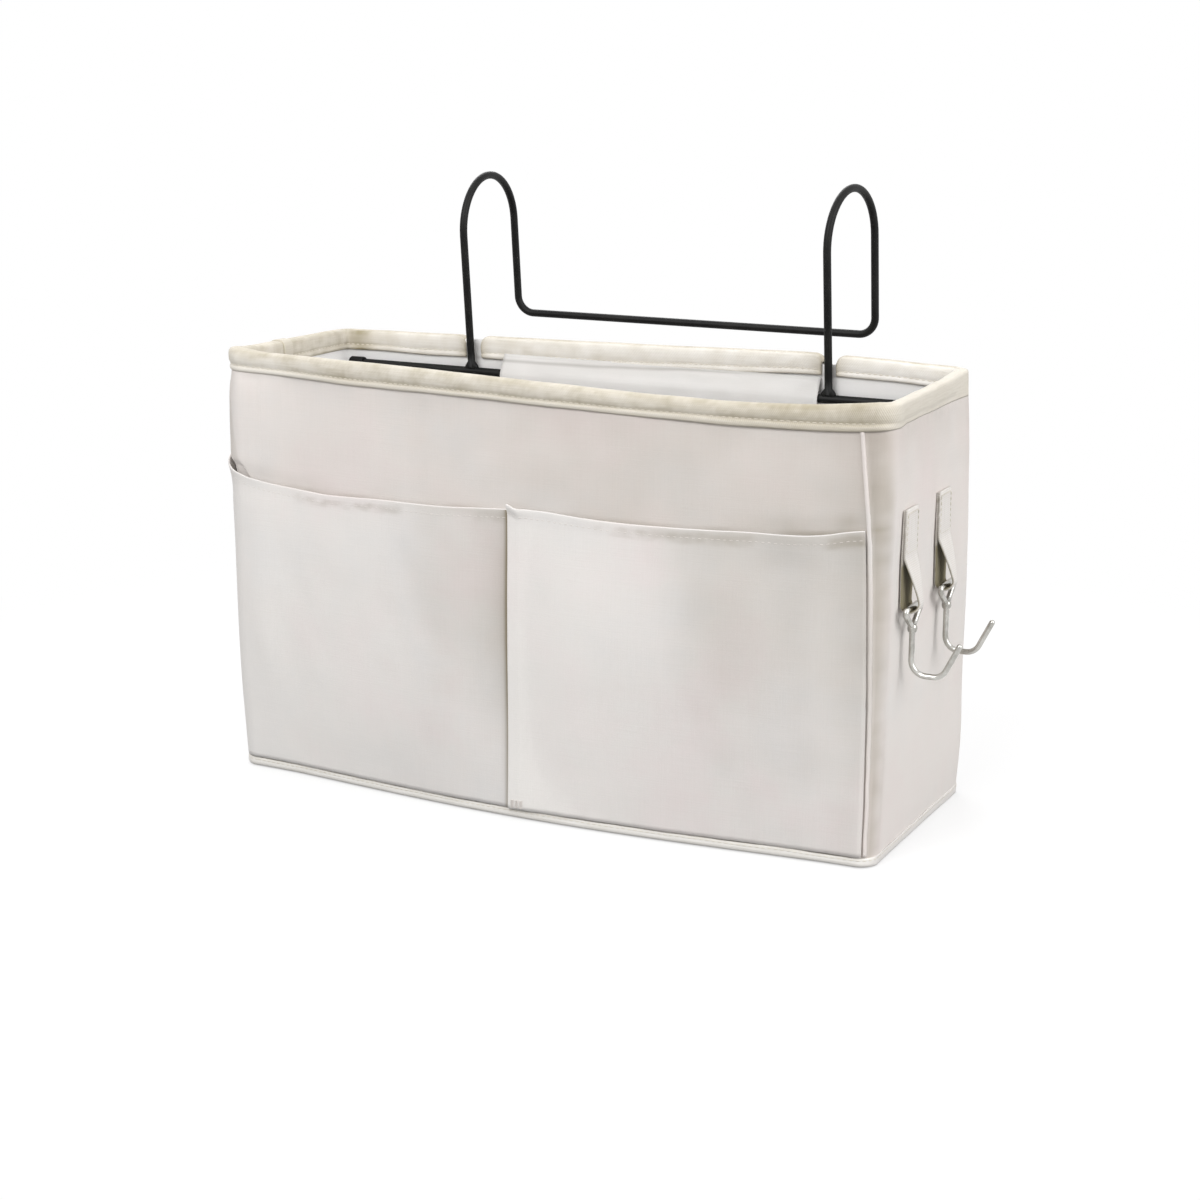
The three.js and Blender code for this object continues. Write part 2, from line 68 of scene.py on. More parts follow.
# The pockets, the hanger, the tabs and the small hooks.
DIVIDER_X = -9.5
POCKET_CLOTH = 1.0
POCKET_HEM = 1.05
HANGER_Y, HANGER_Z = 38.079, 201.713
HANGER_LEGS = (-94.0, 110.0)
HOOK_TOE = 4.2
HANGER_RADIUS = 2.0
RAIL_SPAN = 55.0
HOOK_RISE = 100.0
BACK_BAR_RISE = 20.6
HANGER_BEND = 9.0
BAR_RADIUS = 2.25
TAB_WIDTH = 20.0
TAB_TOP, TAB_SEWN = 168.0, 145.0
HOOK_X, HOOK_Z = 183.411, 121.6
HOOK_YS = {"front": -37.213, "rear": 11.999}
TAB_YS = {"front": -37.0, "rear": 19.0}
HOOK_RADIUS = 1.4
STITCH_PITCH = 3.1


def lerp(a, b, t):
    return a + (b - a) * t


def smooth(edge0, edge1, value):
    t = np.clip((np.asarray(value, float) - edge0) / (edge1 - edge0), 0, 1)
    return t * t * (3 - 2 * t)


def bell(value, middle, width):
    """1 at the middle, falling away on both sides of it."""
    return np.exp(-(((value - middle) / width) ** 2))


def fade(distance, length):
    """1 at no distance, dying away over a length."""
    return np.exp(-np.abs(distance) / length)


def rough(x, y, z):
    """Perlin noise at arrays of points."""
    x, y, z = np.broadcast_arrays(np.asarray(x, float), y, z)
    flat = [noise.noise(Vector(p)) for p in zip(x.ravel(), y.ravel(), z.ravel())]
    return np.array(flat).reshape(x.shape)


def unit(vectors):
    return vectors / np.linalg.norm(vectors, axis=-1, keepdims=True)


def run_along(points):
    """Length along a polyline up to each of its points."""
    return np.concatenate([[0], np.cumsum(np.linalg.norm(np.diff(points, axis=0), axis=1))])


def pairs(u, v):
    return np.stack(np.broadcast_arrays(u, v), axis=-1)


def stepped(*runs):
    """Even steps, in runs of (first, last, count)."""
    return np.concatenate([np.linspace(*run) for run in runs])


def there_and_back(front, back):
    """Rows that go along one face of a cloth and return along the other."""
    return np.concatenate([front, back[:, ::-1]], axis=1)


# Plan of the canvas, counter-clockwise from the left end of the front: rows of (x, y, normal).
FRONT_POINTS = 673


def plan_rows():
    rows = []
    for x in np.linspace(-CORNER_X, CORNER_X, FRONT_POINTS):
        t = x / CORNER_X
        fall = max(0.0, 1 - t * t)
        slope = 3 * FRONT_BELLY * t * math.sqrt(fall) / CORNER_X
        long = math.hypot(slope, 1)
        rows.append((x, -HALF_DEPTH - FRONT_BELLY * fall**1.5, slope / long, -1 / long))
    corners = ((1, -1, -90), (1, 1, 0), (-1, 1, 90), (-1, -1, 180))
    for x_side, y_side, start in corners:
        for turn in np.radians(np.linspace(start, start + 90, 31)):
            c, s = math.cos(turn), math.sin(turn)
            rows.append((x_side * CORNER_X + CORNER_RADIUS * c, y_side * CORNER_Y + CORNER_RADIUS * s, c, s))
    rows.append(rows[0])
    return np.array(rows)


PLAN = plan_rows()
ALONG = run_along(PLAN[:, :2])
FRONT_PLAN, FRONT_ALONG = PLAN[:FRONT_POINTS, 0], ALONG[:FRONT_POINTS]
PERIMETER = ALONG[-1]
FRONT_END = FRONT_ALONG[-1]
ARC = CORNER_RADIUS * math.pi / 2
SIDE = 2 * CORNER_Y
BACK_START = FRONT_END + 2 * ARC + SIDE
DIVIDER = float(np.interp(DIVIDER_X, FRONT_PLAN, FRONT_ALONG))
LEFT_SIDE = -CORNER_X - ARC


def plan(s):
    s = np.mod(s, PERIMETER)
    x, y, nx, ny = (np.interp(s, ALONG, PLAN[:, k]) for k in range(4))
    long = np.hypot(nx, ny)
    return x, y, nx / long, ny / long


def s_back(x):
    return BACK_START + CORNER_X - x


def unrolled(s):
    """Distance along the front from its middle, carried on round the front corners."""
    s = np.mod(s, PERIMETER)
    s = np.where(s > PERIMETER - ARC - SIDE, s - PERIMETER, s)
    return np.interp(s, FRONT_ALONG, FRONT_PLAN) + np.minimum(s, 0) + np.maximum(s - FRONT_END, 0)


def through(knots, x):
    """A smooth curve through knots, by Hermite pieces."""
    xs, zs = np.array(knots, float).T
    slopes = np.gradient(zs, xs)
    k = np.clip(np.searchsorted(xs, x) - 1, 0, len(xs) - 2)
    span = xs[k + 1] - xs[k]
    t = np.clip((x - xs[k]) / span, 0, 1)
    a, b = slopes[k] * span, slopes[k + 1] * span
    return (
        zs[k] * (2 * t**3 - 3 * t**2 + 1) + a * (t**3 - 2 * t**2 + t)
        + zs[k + 1] * (3 * t**2 - 2 * t**3) + b * (t**3 - t**2)
    )


def backwards(y):
    """0 at the front corners, 1 at the back ones."""
    return np.clip((y + CORNER_Y) / SIDE, 0, 1)


def leaned(x, y, z):
    rise = z / HEIGHT
    sideways = np.clip(x / CORNER_X, -1, 1)
    sag = RIM_SAG * np.sin(math.pi * ((1 + sideways) / 2) ** RIM_SAG_SKEW) * (y < -CORNER_Y)
    return np.stack([
        x + sideways * SIDE_FLARE * rise,
        y + lerp(FRONT_LEAN, -BACK_LEAN, backwards(y)) * rise,
        z - sag * np.clip((z - HEIGHT + BINDING) / BINDING, 0, 1),
    ], axis=-1)


def surface(s, z, out):
    """Points at a distance out from the even canvas face."""
    s, z, out = np.broadcast_arrays(np.asarray(s, float), z, out)
    x, y, nx, ny = plan(s)
    return leaned(x + nx * out, y + ny * out, z)


# Two corners where the cloth stands out past the straight board: (height, distance).
FRONT_LEFT_SWELL = (
    (0, 0.5), (15, 1.2), (40, 2.2), (70, 2.5), (100, 2.3), (140, 2.7), (155, 2.7),
    (163, 4.1), (173, 4.3), (190, 4.1), (203, 3.3), (209, 2.2), (221, 1.6),
)
BACK_RIGHT_SWELL = (
    (0, 0.2), (20, 1.1), (40, 1.9), (70, 2.3), (100, 3.2), (120, 3.1),
    (140, 2.8), (165, 2.2), (190, 1.7), (205, 1.4), (221, 1.0),
)


def at_front_left(s):
    along = unrolled(s) + CORNER_X
    return smooth(-ARC - 70, -ARC, along) * smooth(36, -3, along)


def swell(s, z):
    side_end = BACK_START - ARC
    at_back_right = smooth(side_end - 26, side_end, s) * smooth(BACK_START + 40, BACK_START, s)
    return at_front_left(s) * through(FRONT_LEFT_SWELL, z) + at_back_right * through(BACK_RIGHT_SWELL, z)


def left_fold(z):
    """Where the front's left edge shows, slanting in towards the pocket's mouth."""
    return np.interp(z, (152, 160, 163, 208), (4.5, 0.8, -1.2, -7.5)) - CORNER_X


def fabric(s, z):
    """Unevenness of the canvas, outwards: swollen corners, slow waves over the board, puckers beside the seams."""
    s, z = np.broadcast_arrays(np.asarray(s, float), z)
    x, y, _, _ = plan(s)
    waves = 0.75 * rough(x / 80, y / 80, z / 70) + 0.3 * rough(x / 27 + 9, y / 27, z / 27)
    seam = fade(HEIGHT - BINDING - 1 - z, 5) + fade(z - FOOT_BAND, 5)
    puckers = 0.35 * seam * rough(s / 5.5, z / 18, 3.3)
    under_rim = 1 - 0.75 * smooth(206, 212, z)
    return np.clip(waves + puckers, -0.6, 1.2) * under_rim + swell(np.mod(s, PERIMETER), z)


def wall(s, z, out):
    return surface(s, z, out + fabric(s, z))


def outward(s, z):
    """Unit normals of the leaned walls."""
    step = 0.5
    along = surface(s + step, z, 0) - surface(s - step, z, 0)
    up = surface(s, z + step, 0) - surface(s, z - step, 0)
    return unit(np.cross(along, up))


# Mesh helpers.
def grid_faces(nu, nv, closed_u=False, closed_v=False):
    faces = []
    for a in range(nu if closed_u else nu - 1):
        for c in range(nv if closed_v else nv - 1):
            b, d = (a + 1) % nu, (c + 1) % nv
            faces.append((a * nv + c, b * nv + c, b * nv + d, a * nv + d))
    return faces


def flipped(faces):
    return [face[::-1] for face in faces]


def capped_faces(nu, nv, flip_caps=False):
    """Faces of a row of rings that is shut at both ends."""
    caps = [tuple(range(nv)), tuple(range((nu - 1) * nv, nu * nv))[::-1]]
    return grid_faces(nu, nv, closed_v=True) + (flipped(caps) if flip_caps else caps)


def piece(name, verts, faces, material, slot, uvs=None, tone=None, replaces=(), body="bag"):
    mesh = bpy.data.meshes.new(name)
    mesh.from_pydata((np.asarray(verts, float).reshape(-1, 3) * MM).tolist(), [], faces)
    if uvs is not None:
        layer = mesh.uv_layers.new(name="cloth")
        corner = np.empty(len(mesh.loops), np.int32)
        mesh.loops.foreach_get("vertex_index", corner)
        layer.data.foreach_set("uv", (np.asarray(uvs, float).reshape(-1, 2) * MM)[corner].ravel())
    if tone is not None:
        attribute = mesh.attributes.new("tone", "FLOAT", "POINT")
        attribute.data.foreach_set("value", np.asarray(tone, np.float32).ravel())
    mesh.shade_smooth()
    mesh.materials.append(material)
    obj = bpy.data.objects.new(name, mesh)
    bpy.context.scene.collection.objects.link(obj)
    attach(obj, body)
    if replaces:
        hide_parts(*replaces)
    return obj


def joined(parts):
    """Stacks (verts, faces) pairs into one."""
    verts, faces, base = [], [], 0
    for v, f in parts:
        v = np.asarray(v, float).reshape(-1, 3)
        verts.append(v)
        faces += [tuple(base + k for k in face) for face in f]
        base += len(v)
    return np.concatenate(verts), faces


def rounded_path(corners, step=6.0):
    """Points along a polyline whose corners, given as (point, radius), are bent to arcs."""
    spots = [np.array(point, float) for point, _ in corners]
    points = [spots[0]]
    for before, at, after, (_, bend) in zip(spots, spots[1:], spots[2:], corners[1:]):
        back, ahead = unit(before - at), unit(after - at)
        turn = math.pi - math.acos(np.clip(back @ ahead, -1, 1))
        centre = at + unit(back + ahead) * bend / math.cos(turn / 2)
        start = at + back * bend * math.tan(turn / 2) - centre
        side = unit(-back - start * (-back @ start) / (start @ start)) * bend
        count = max(3, int(math.degrees(turn) / step))
        points += [centre + start * math.cos(a) + side * math.sin(a) for a in np.linspace(0, turn, count + 1)]
    kept = [points[0]]
    for p in [*points[1:], spots[-1]]:
        if np.linalg.norm(p - kept[-1]) > 1e-3:
            kept.append(p)
    return np.array(kept)


def dense(points, spacing):
    """The polyline with points added on its long straight runs."""
    out = [points[0]]
    for a, b in zip(points, points[1:]):
        n = max(1, int(np.linalg.norm(b - a) / spacing))
        out += [a + (b - a) * k / n for k in range(1, n + 1)]
    return np.array(out)


def circle(sides):
    """Cosines and sines of the corners of an even ring, as columns."""
    angles = 2 * math.pi * np.arange(sides)[:, None] / sides
    return np.cos(angles), np.sin(angles)


def tube(points, radius, sides=20, dome_start=False, dome_end=False):
    """A round bar along points; radius may vary along them."""
    points = np.asarray(points, float)
    radii = np.broadcast_to(np.asarray(radius, float), len(points))
    rings = list(zip(points, unit(np.gradient(points, axis=0)), radii))
    steps = np.radians([30, 55, 75, 87])
    if dome_end:
        p, t, r = rings[-1]
        rings += [(p + t * r * math.sin(a), t, r * math.cos(a)) for a in steps]
    if dome_start:
        p, t, r = rings[0]
        rings = [(p - t * r * math.sin(a), t, r * math.cos(a)) for a in steps[::-1]] + rings
    upright = abs(rings[0][1][2]) >= 0.8
    side = np.cross((1.0, 0, 0) if upright else (0, 0, 1.0), rings[0][1])
    cos, sin = circle(sides)
    verts = []
    for p, t, r in rings:
        side = unit(side - t * (side @ t))
        verts.append(p + r * (cos * side + sin * np.cross(t, side)))
    return np.concatenate(verts), capped_faces(len(rings), sides, flip_caps=True)


# One stitch, from end to end: (place along it, thickness, bow), as shares of half its length and width.
STRAND = np.array([
    (-1, 0.3, -0.8), (-0.75, 0.85, -0.1), (-0.3, 1, 0.45), (0.3, 1, 0.45), (0.75, 0.85, -0.1), (1, 0.3, -0.8),
])
STRAND_SIDES = 6


def stitches(points, normals, width, pitch=STITCH_PITCH, length=2.2, lift=0.0, slant=0.0):
    """A row of single stitches lying on a polyline, each a small bowed strand of thread."""
    points, normals = np.asarray(points, float), np.asarray(normals, float)
    run = run_along(points)
    middles = np.arange(pitch / 2, run[-1], pitch)

    def at(values, rows):
        return np.stack([np.interp(values, run, rows[:, k]) for k in range(3)], axis=-1)

    tangents = unit(at(middles + 0.3, points) - at(middles - 0.3, points))
    ups = at(middles, normals)
    ups = unit(ups - tangents * np.sum(ups * tangents, axis=1, keepdims=True))
    tangents = tangents * math.cos(slant) + np.cross(ups, tangents) * math.sin(slant)
    sides = np.cross(ups, tangents)
    along, thick, bow = (STRAND[:, k, None] for k in range(3))
    cos, sin = circle(STRAND_SIDES)
    faces = capped_faces(len(STRAND), STRAND_SIDES, flip_caps=True)
    strands = []
    for centre, t, u, w in zip(at(middles, points), tangents, ups, sides):
        line = centre + along * t * length / 2 + (lift + bow * width / 2) * u
        ring = cos * w + sin * u
        strands.append((line[:, None] + thick[:, None] * width / 2 * ring, faces))
    return joined(strands)


# Material helpers.
WHITE = (1.0, 1.0, 1.0)
# How a cloth takes the light.
SOFT = {"Sheen_Roughness": 0.6, "Specular_IOR_Level": 0.2}


class Nodes:
    """Shorthand for the node tree of a material or of the world."""

    def __init__(self, owner):
        owner.use_nodes = True
        self.owner, self.tree = owner, owner.node_tree
        self.shader = self.tree.nodes.get("Principled BSDF")

    def feed(self, socket, value):
        if isinstance(value, (int, float)):
            socket.default_value = value
        elif isinstance(value, tuple):
            socket.default_value = (*value, 1)[:len(socket.default_value)]
        else:
            self.tree.links.new(value, socket)

    def add(self, kind, inputs=(), **settings):
        node = self.tree.nodes.new(kind)
        for key, value in settings.items():
            setattr(node, key, value)
        for key, value in dict(inputs).items():
            self.feed(node.inputs[key], value)
        return node

    def math(self, operation, *values):
        return self.add("ShaderNodeMath", enumerate(values), operation=operation).outputs[0]

    def line(self, value, slope, start):
        return self.math("MULTIPLY_ADD", value, slope, start)

    def noise(self, vector, scale, detail=2.0, roughness=0.5):
        inputs = {"Vector": vector, "Scale": scale, "Detail": detail, "Roughness": roughness}
        return self.add("ShaderNodeTexNoise", inputs).outputs["Fac"]

    def streaks(self, vector, *scale, detail=2.0, roughness=0.5):
        """Noise that is drawn out along one direction."""
        mapped = self.add("ShaderNodeMapping", {"Vector": vector, "Scale": scale})
        return self.noise(mapped.outputs[0], 1.0, detail, roughness)

    def ramp(self, value, *stops):
        node = self.add("ShaderNodeValToRGB", {"Fac": value})
        elements = node.color_ramp.elements
        while len(elements) < len(stops):
            elements.new(0.5)
        for element, (position, colour) in zip(elements, stops):
            element.position = position
            element.color = (*colour, 1)
        return node.outputs["Color"]

    def mix(self, factor, a, b, blend="MIX"):
        return self.add("ShaderNodeMix", {0: factor, 6: a, 7: b}, data_type="RGBA", blend_type=blend).outputs[2]

    def tinted(self, base, strength, value, *stops):
        """Multiplies a colour by a ramp, in part."""
        return self.mix(strength, base, self.mix(1.0, base, self.ramp(value, *stops), "MULTIPLY"))

    def toned(self, base, dark, pale):
        """Shades a colour towards dark where the piece's tone is above nothing, and towards pale where below; the
        tone carries painted shade and painted light, and some random mottle.
        """
        tone = self.add("ShaderNodeAttribute", attribute_name="tone").outputs["Fac"]
        base = self.mix(self.math("MAXIMUM", tone, 0.0), base, dark)
        return self.mix(self.math("MAXIMUM", self.math("MULTIPLY", tone, -1.0), 0.0), base, pale)

    def bump(self, height, distance, strength):
        node = self.add("ShaderNodeBump", {"Height": height, "Distance": distance, "Strength": strength})
        self.set(Normal=node.outputs["Normal"])

    def set(self, **values):
        for key, value in values.items():
            self.feed(self.shader.inputs[key.replace("_", " ")], value)

    def finish(self, colour, uneven, low, span, **values):
        """Sets the colour and a roughness that goes up from low with an uneven value, and gives the material."""
        self.set(Base_Color=colour, Roughness=self.line(uneven, span, low), **values)
        return self.owner

    def cloth(self):
        """The place on the cloth, whole and as (along, across)."""
        uv = self.add("ShaderNodeUVMap", uv_map="cloth").outputs["UV"]
        split = self.add("ShaderNodeSeparateXYZ", {0: uv})
        return uv, split.outputs[0], split.outputs[1]

    def place(self):
        return self.add("ShaderNodeTexCoord").outputs["Object"]

    def seen(self):
        """1 for rays that show a thing, straight, mirrored or through glass, and 0 for those that light it."""
        path = self.add("ShaderNodeLightPath").outputs
        shown = self.math("MAXIMUM", path["Is Camera Ray"], path["Is Glossy Ray"])
        return self.math("MAXIMUM", shown, path["Is Transmission Ray"])

    def blend(self, factor, first, second, output):
        node = self.add("ShaderNodeMixShader", {0: factor, 1: first.outputs[0], 2: second.outputs[0]})
        self.feed(self.tree.nodes[output].inputs["Surface"], node.outputs[0])


def new_material(name):
    return Nodes(bpy.data.materials.new(name))


def woven(name, light, grey, pink, dark, pitch, slub, depth=0.0001):
    """A plain weave: warp and weft over and under, uneven yarns, soft colour patches, and painted shade and painted
    light from the piece's tone.
    """
    m = new_material(name)
    uv, along, up = m.cloth()
    wobble = m.math("MULTIPLY", m.math("SUBTRACT", m.noise(uv, 260.0), 0.5), 1.6)
    turn = math.pi / (pitch * MM)
    warp, weft = m.line(along, turn, wobble), m.line(up, turn, wobble)
    over = m.math("MULTIPLY", m.math("COSINE", warp), m.math("COSINE", weft))
    crown_warp, crown_weft = (m.math("ABSOLUTE", m.math("SINE", yarns)) for yarns in (warp, weft))
    high_warp = m.math("MULTIPLY", crown_warp, m.line(over, 0.5, 0.5))
    high_weft = m.math("MULTIPLY", crown_weft, m.line(over, -0.5, 0.5))
    high = m.math("MAXIMUM", high_warp, high_weft)
    slubs = m.math("ADD", m.streaks(uv, 38.0, 1500.0, 1.0), m.streaks(uv, 1500.0, 38.0, 1.0))
    yarn = m.math("MULTIPLY", slubs, 0.5)
    patches = m.noise(m.place(), 16.0, 4, 0.62)
    base = m.ramp(patches, (0.34, grey), (0.5, light), (0.66, pink))
    base = m.tinted(base, slub, yarn, (0.36, (0.9, 0.89, 0.87)), (0.58, WHITE))
    base = m.tinted(base, 0.6, high, (0.0, (0.86, 0.85, 0.83)), (0.5, WHITE))
    base = m.toned(base, dark, (0.84, 0.82, 0.79))
    m.bump(m.line(yarn, 1.6, high), depth, 0.55)
    return m.finish(base, m.noise(uv, 900.0), 0.84, 0.14, Sheen_Weight=0.15, **SOFT)


def twill(name, light, dark, pitch, lean, shade_to, pale):
    """Tape with slanting ribs."""
    m = new_material(name)
    uv, along, up = m.cloth()
    turn = 2 * math.pi / (pitch * MM)
    slant = m.line(along, turn, m.math("MULTIPLY", up, turn * lean))
    rib = m.line(m.math("SINE", m.line(m.noise(uv, 300.0), 2.2, slant)), 0.5, 0.5)
    yarn = m.streaks(uv, 60.0, 1600.0, 1.0)
    base = m.mix(m.noise(m.place(), 34.0, 3, 0.6), dark, light)
    base = m.tinted(base, 0.6, rib, (0.0, (0.88, 0.86, 0.83)), (0.6, WHITE))
    base = m.tinted(base, 0.7, yarn, (0.35, (0.9, 0.89, 0.86)), (0.6, WHITE))
    base = m.toned(base, shade_to, pale)
    m.bump(m.math("ADD", rib, yarn), 0.00014, 0.6)
    return m.finish(base, yarn, 0.84, 0.14, Sheen_Weight=0.12, **SOFT)


def thread(name, light, dark):
    m = new_material(name)
    twist = m.streaks(m.place(), 2600.0, 2600.0, 2600.0, detail=1)
    m.bump(twist, 0.00008, 0.7)
    return m.finish(m.mix(twist, dark, light), twist, 0.62, 0.2, Sheen_Weight=0.15)


def coated(name, dark, light, roughness, grain, depth):
    """Black coating over steel, or moulded vinyl: a fine orange peel with rubbed places."""
    m = new_material(name)
    where = m.place()
    rubbed = m.noise(where, 60.0, 4, 0.65)
    base = m.ramp(rubbed, (0.42, dark), (0.78, light))
    m.bump(m.noise(where, grain, 3, 0.6), depth, 0.5)
    return m.finish(base, rubbed, roughness - 0.1, 0.2, Specular_IOR_Level=0.16)


def plated(name):
    m = new_material(name)
    where = m.place()
    haze = m.noise(where, 140.0, 3, 0.6)
    base = m.ramp(haze, (0.32, (0.34, 0.33, 0.3)), (0.62, (0.56, 0.55, 0.52)))
    m.bump(m.noise(where, 420.0, 3, 0.6), 0.00003, 0.5)
    return m.finish(base, haze, 0.1, 0.16, Metallic=1.0)


def card(name):
    m = new_material(name)
    fibre = m.streaks(m.place(), 300.0, 300.0, 900.0, detail=4, roughness=0.6)
    base = m.ramp(fibre, (0.3, (0.42, 0.36, 0.28)), (0.7, (0.56, 0.5, 0.41)))
    m.bump(fibre, 0.0002, 0.5)
    return m.finish(base, fibre, 0.78, 0.15)


# The dark colour that the canvas and pockets mix towards for painted shade and for their random mottle.
shade_and_mottle = (0.27, 0.23, 0.165)
canvas_cloth = woven(
    "canvas", (0.75, 0.70, 0.668), (0.728, 0.694, 0.67), (0.755, 0.685, 0.66), shade_and_mottle, 0.55, 0.2,
)
pocket_cloth = woven(
    "pocket_canvas", (0.75, 0.718, 0.695), (0.73, 0.71, 0.695), (0.757, 0.698, 0.682), shade_and_mottle, 0.55, 0.2,
)
# The lining's last colour is the dark that its painted shade mixes towards.
lining_cloth = woven(
    "lining", (0.93, 0.92, 0.91), (0.91, 0.905, 0.905), (0.93, 0.905, 0.89), (0.4, 0.385, 0.365),
    0.35, 0.15, 0.00006,
)
# Each tape's last two colours are the dark that painted shade mixes towards and the pale that painted light mixes
# towards; on the foot tape the pale one is the canvas colour its sides take.
rim_tape_cloth = twill(
    "tape", (0.74, 0.70, 0.63), (0.66, 0.61, 0.52), 0.9, 0.8, (0.31, 0.26, 0.15), (0.9, 0.875, 0.835),
)
foot_tape_cloth = twill(
    "foot_tape", (0.85, 0.835, 0.81), (0.80, 0.78, 0.745), 0.9, 0.8, (0.31, 0.26, 0.17), (0.765, 0.735, 0.71),
)
webbing_cloth = twill(
    "webbing", (0.785, 0.755, 0.73), (0.76, 0.73, 0.705), 1.0, 0.0, (0.17, 0.14, 0.06), (0.8, 0.78, 0.75),
)
pale_thread = thread("thread", (0.7, 0.66, 0.58), (0.62, 0.57, 0.48))
cloth_thread = thread("cloth_thread", (0.69, 0.65, 0.62), (0.6, 0.56, 0.52))
black_coat = coated("black_coat", (0.004, 0.004, 0.004), (0.012, 0.012, 0.011), 0.45, 900.0, 0.00003)
black_vinyl = coated("black_vinyl", (0.004, 0.004, 0.004), (0.011, 0.011, 0.011), 0.6, 1400.0, 0.00005)
nickel = plated("nickel")
board_card = card("board")


# Seams where the end panels wrap round the front corners: the right one slants out towards the foot.
def s_right_seam(z):
    return FRONT_END + np.interp(z, (0, 31, 79, 126, 155, 208), (5.0, 4.8, 3.7, 1.6, -0.1, -6.6))


S_LEFT_SEAM = -ARC - 3.0

# Heights of the pocket mouths along the front, and patches of painted shade under the hem's roll: (middle, half
# length, strength).
LEFT_MOUTH = (
    (-190, 170), (-184, 168), (-178, 163.5), (-173, 159.4), (-168, 156.8), (-156, 154.2), (-143, 152.7),
    (-129, 151.9), (-119, 151.3), (-104, 151.6), (-87, 152.4), (-67, 152.8), (-44, 153.4), (-27, 154.5),
    (-10, 155.4), (4, 156),
)
RIGHT_MOUTH = (
    (-20, 158.9), (-9, 158.5), (-7.3, 157.8), (-5, 156.7), (0, 156.4), (5, 156.2), (11, 156.1),
    (18, 155.7), (30, 155), (45, 154.4), (58, 154.3), (73, 154.4), (92, 154.8), (110, 155.5),
    (128, 155.8), (140, 156.3), (149, 157.4), (157, 159), (167, 160.5), (182, 162),
)
HEM_SHADE_PATCHES = (
    (-112, 24, 0.26), (-80, 10, 0.2), (-19, 8, 0.1), (8, 12, 0.14), (34, 12, 0.15),
    (58, 12, 0.22), (80, 10, 0.2), (101, 13, 0.14), (158, 9, 0.2),
)

# Heights of the rim binding: its rise along the back, and its lower edges outside and inside, by x.
RIM_RISE = ((-179, -1.2), (9, 2), (104, 3.6), (172, 1.6))
RIM_LOW = 208.5
RIM_LOW_FRONT = (
    (-180, 210.6), (-90, 208.5), (-40, 208.5), (7, 207.5), (56, 206.1), (110, 204.8), (155, 205.6), (180, 207.8),
)
RIM_LOW_BACK_INSIDE = (
    (-180, 208.5), (-90, 208.8), (-20, 209.2), (50, 211.6), (100, 213.2), (140, 212.4), (180, 210.2),
)


def mouth_at(along):
    return np.where(along < DIVIDER_X, through(LEFT_MOUTH, along), through(RIGHT_MOUTH, along))


def rim_lift(s):
    x, y, _, _ = plan(s)
    return backwards(y) ** 2 * through(RIM_RISE, x)


def rim_edge(s):
    """Height of the binding's lower edge outside."""
    x, y, _, _ = plan(s)
    front = np.clip((-y - CORNER_Y + CORNER_RADIUS) / CORNER_RADIUS, 0, 1)
    return lerp(RIM_LOW + 0.4 * rim_lift(s), through(RIM_LOW_FRONT, x), front) + 0.35 * rough(s / 26, 4.2, 0)


def rim_edge_inside(s):
    """Height of the binding's lower edge inside: the tape is narrower along the back."""
    x, y, _, _ = plan(s)
    low = through(RIM_LOW_BACK_INSIDE, x)
    return lerp(RIM_LOW, low, smooth(0, CORNER_Y, y)) + 0.4 * rough(s / 30, 9.9, 0)


def on_right_side(s):
    s = np.mod(s, PERIMETER)
    return smooth(FRONT_END - 2, FRONT_END + ARC, s) * smooth(BACK_START + 10, BACK_START - ARC, s)


# The canvas and the lining are shells lofted round the plan and drawn in under or over the base.
UNDER_UV = 400.0  # where the base lies on the weave, clear of the walls


def base_rows(stations, bends, lift=0.0):
    """Rows that shut a shell below, from near the base's middle out to the foot of the walls."""
    rows = [surface(stations, high, out) for out, high in bends]
    inner = [rows[0] * (1 - 0.36 * t, 1 - t, 1) + (0, 0, lift) for t in (0.96, 0.7, 0.4, 0.12)]
    return np.stack([*inner, *rows], axis=1)


def shell(name, points, uvs, tone, cloth, slot, thickness, panels, inward=False):
    nu, nv = points.shape[:2]
    faces = grid_faces(nu, nv, closed_u=True) + [tuple(i * nv for i in range(nu))[::-1]]
    obj = piece(name, points, flipped(faces) if inward else faces, cloth, slot, uvs, tone, panels)
    thick = obj.modifiers.new("cloth", "SOLIDIFY")
    thick.thickness = thickness * MM
    thick.offset = -1


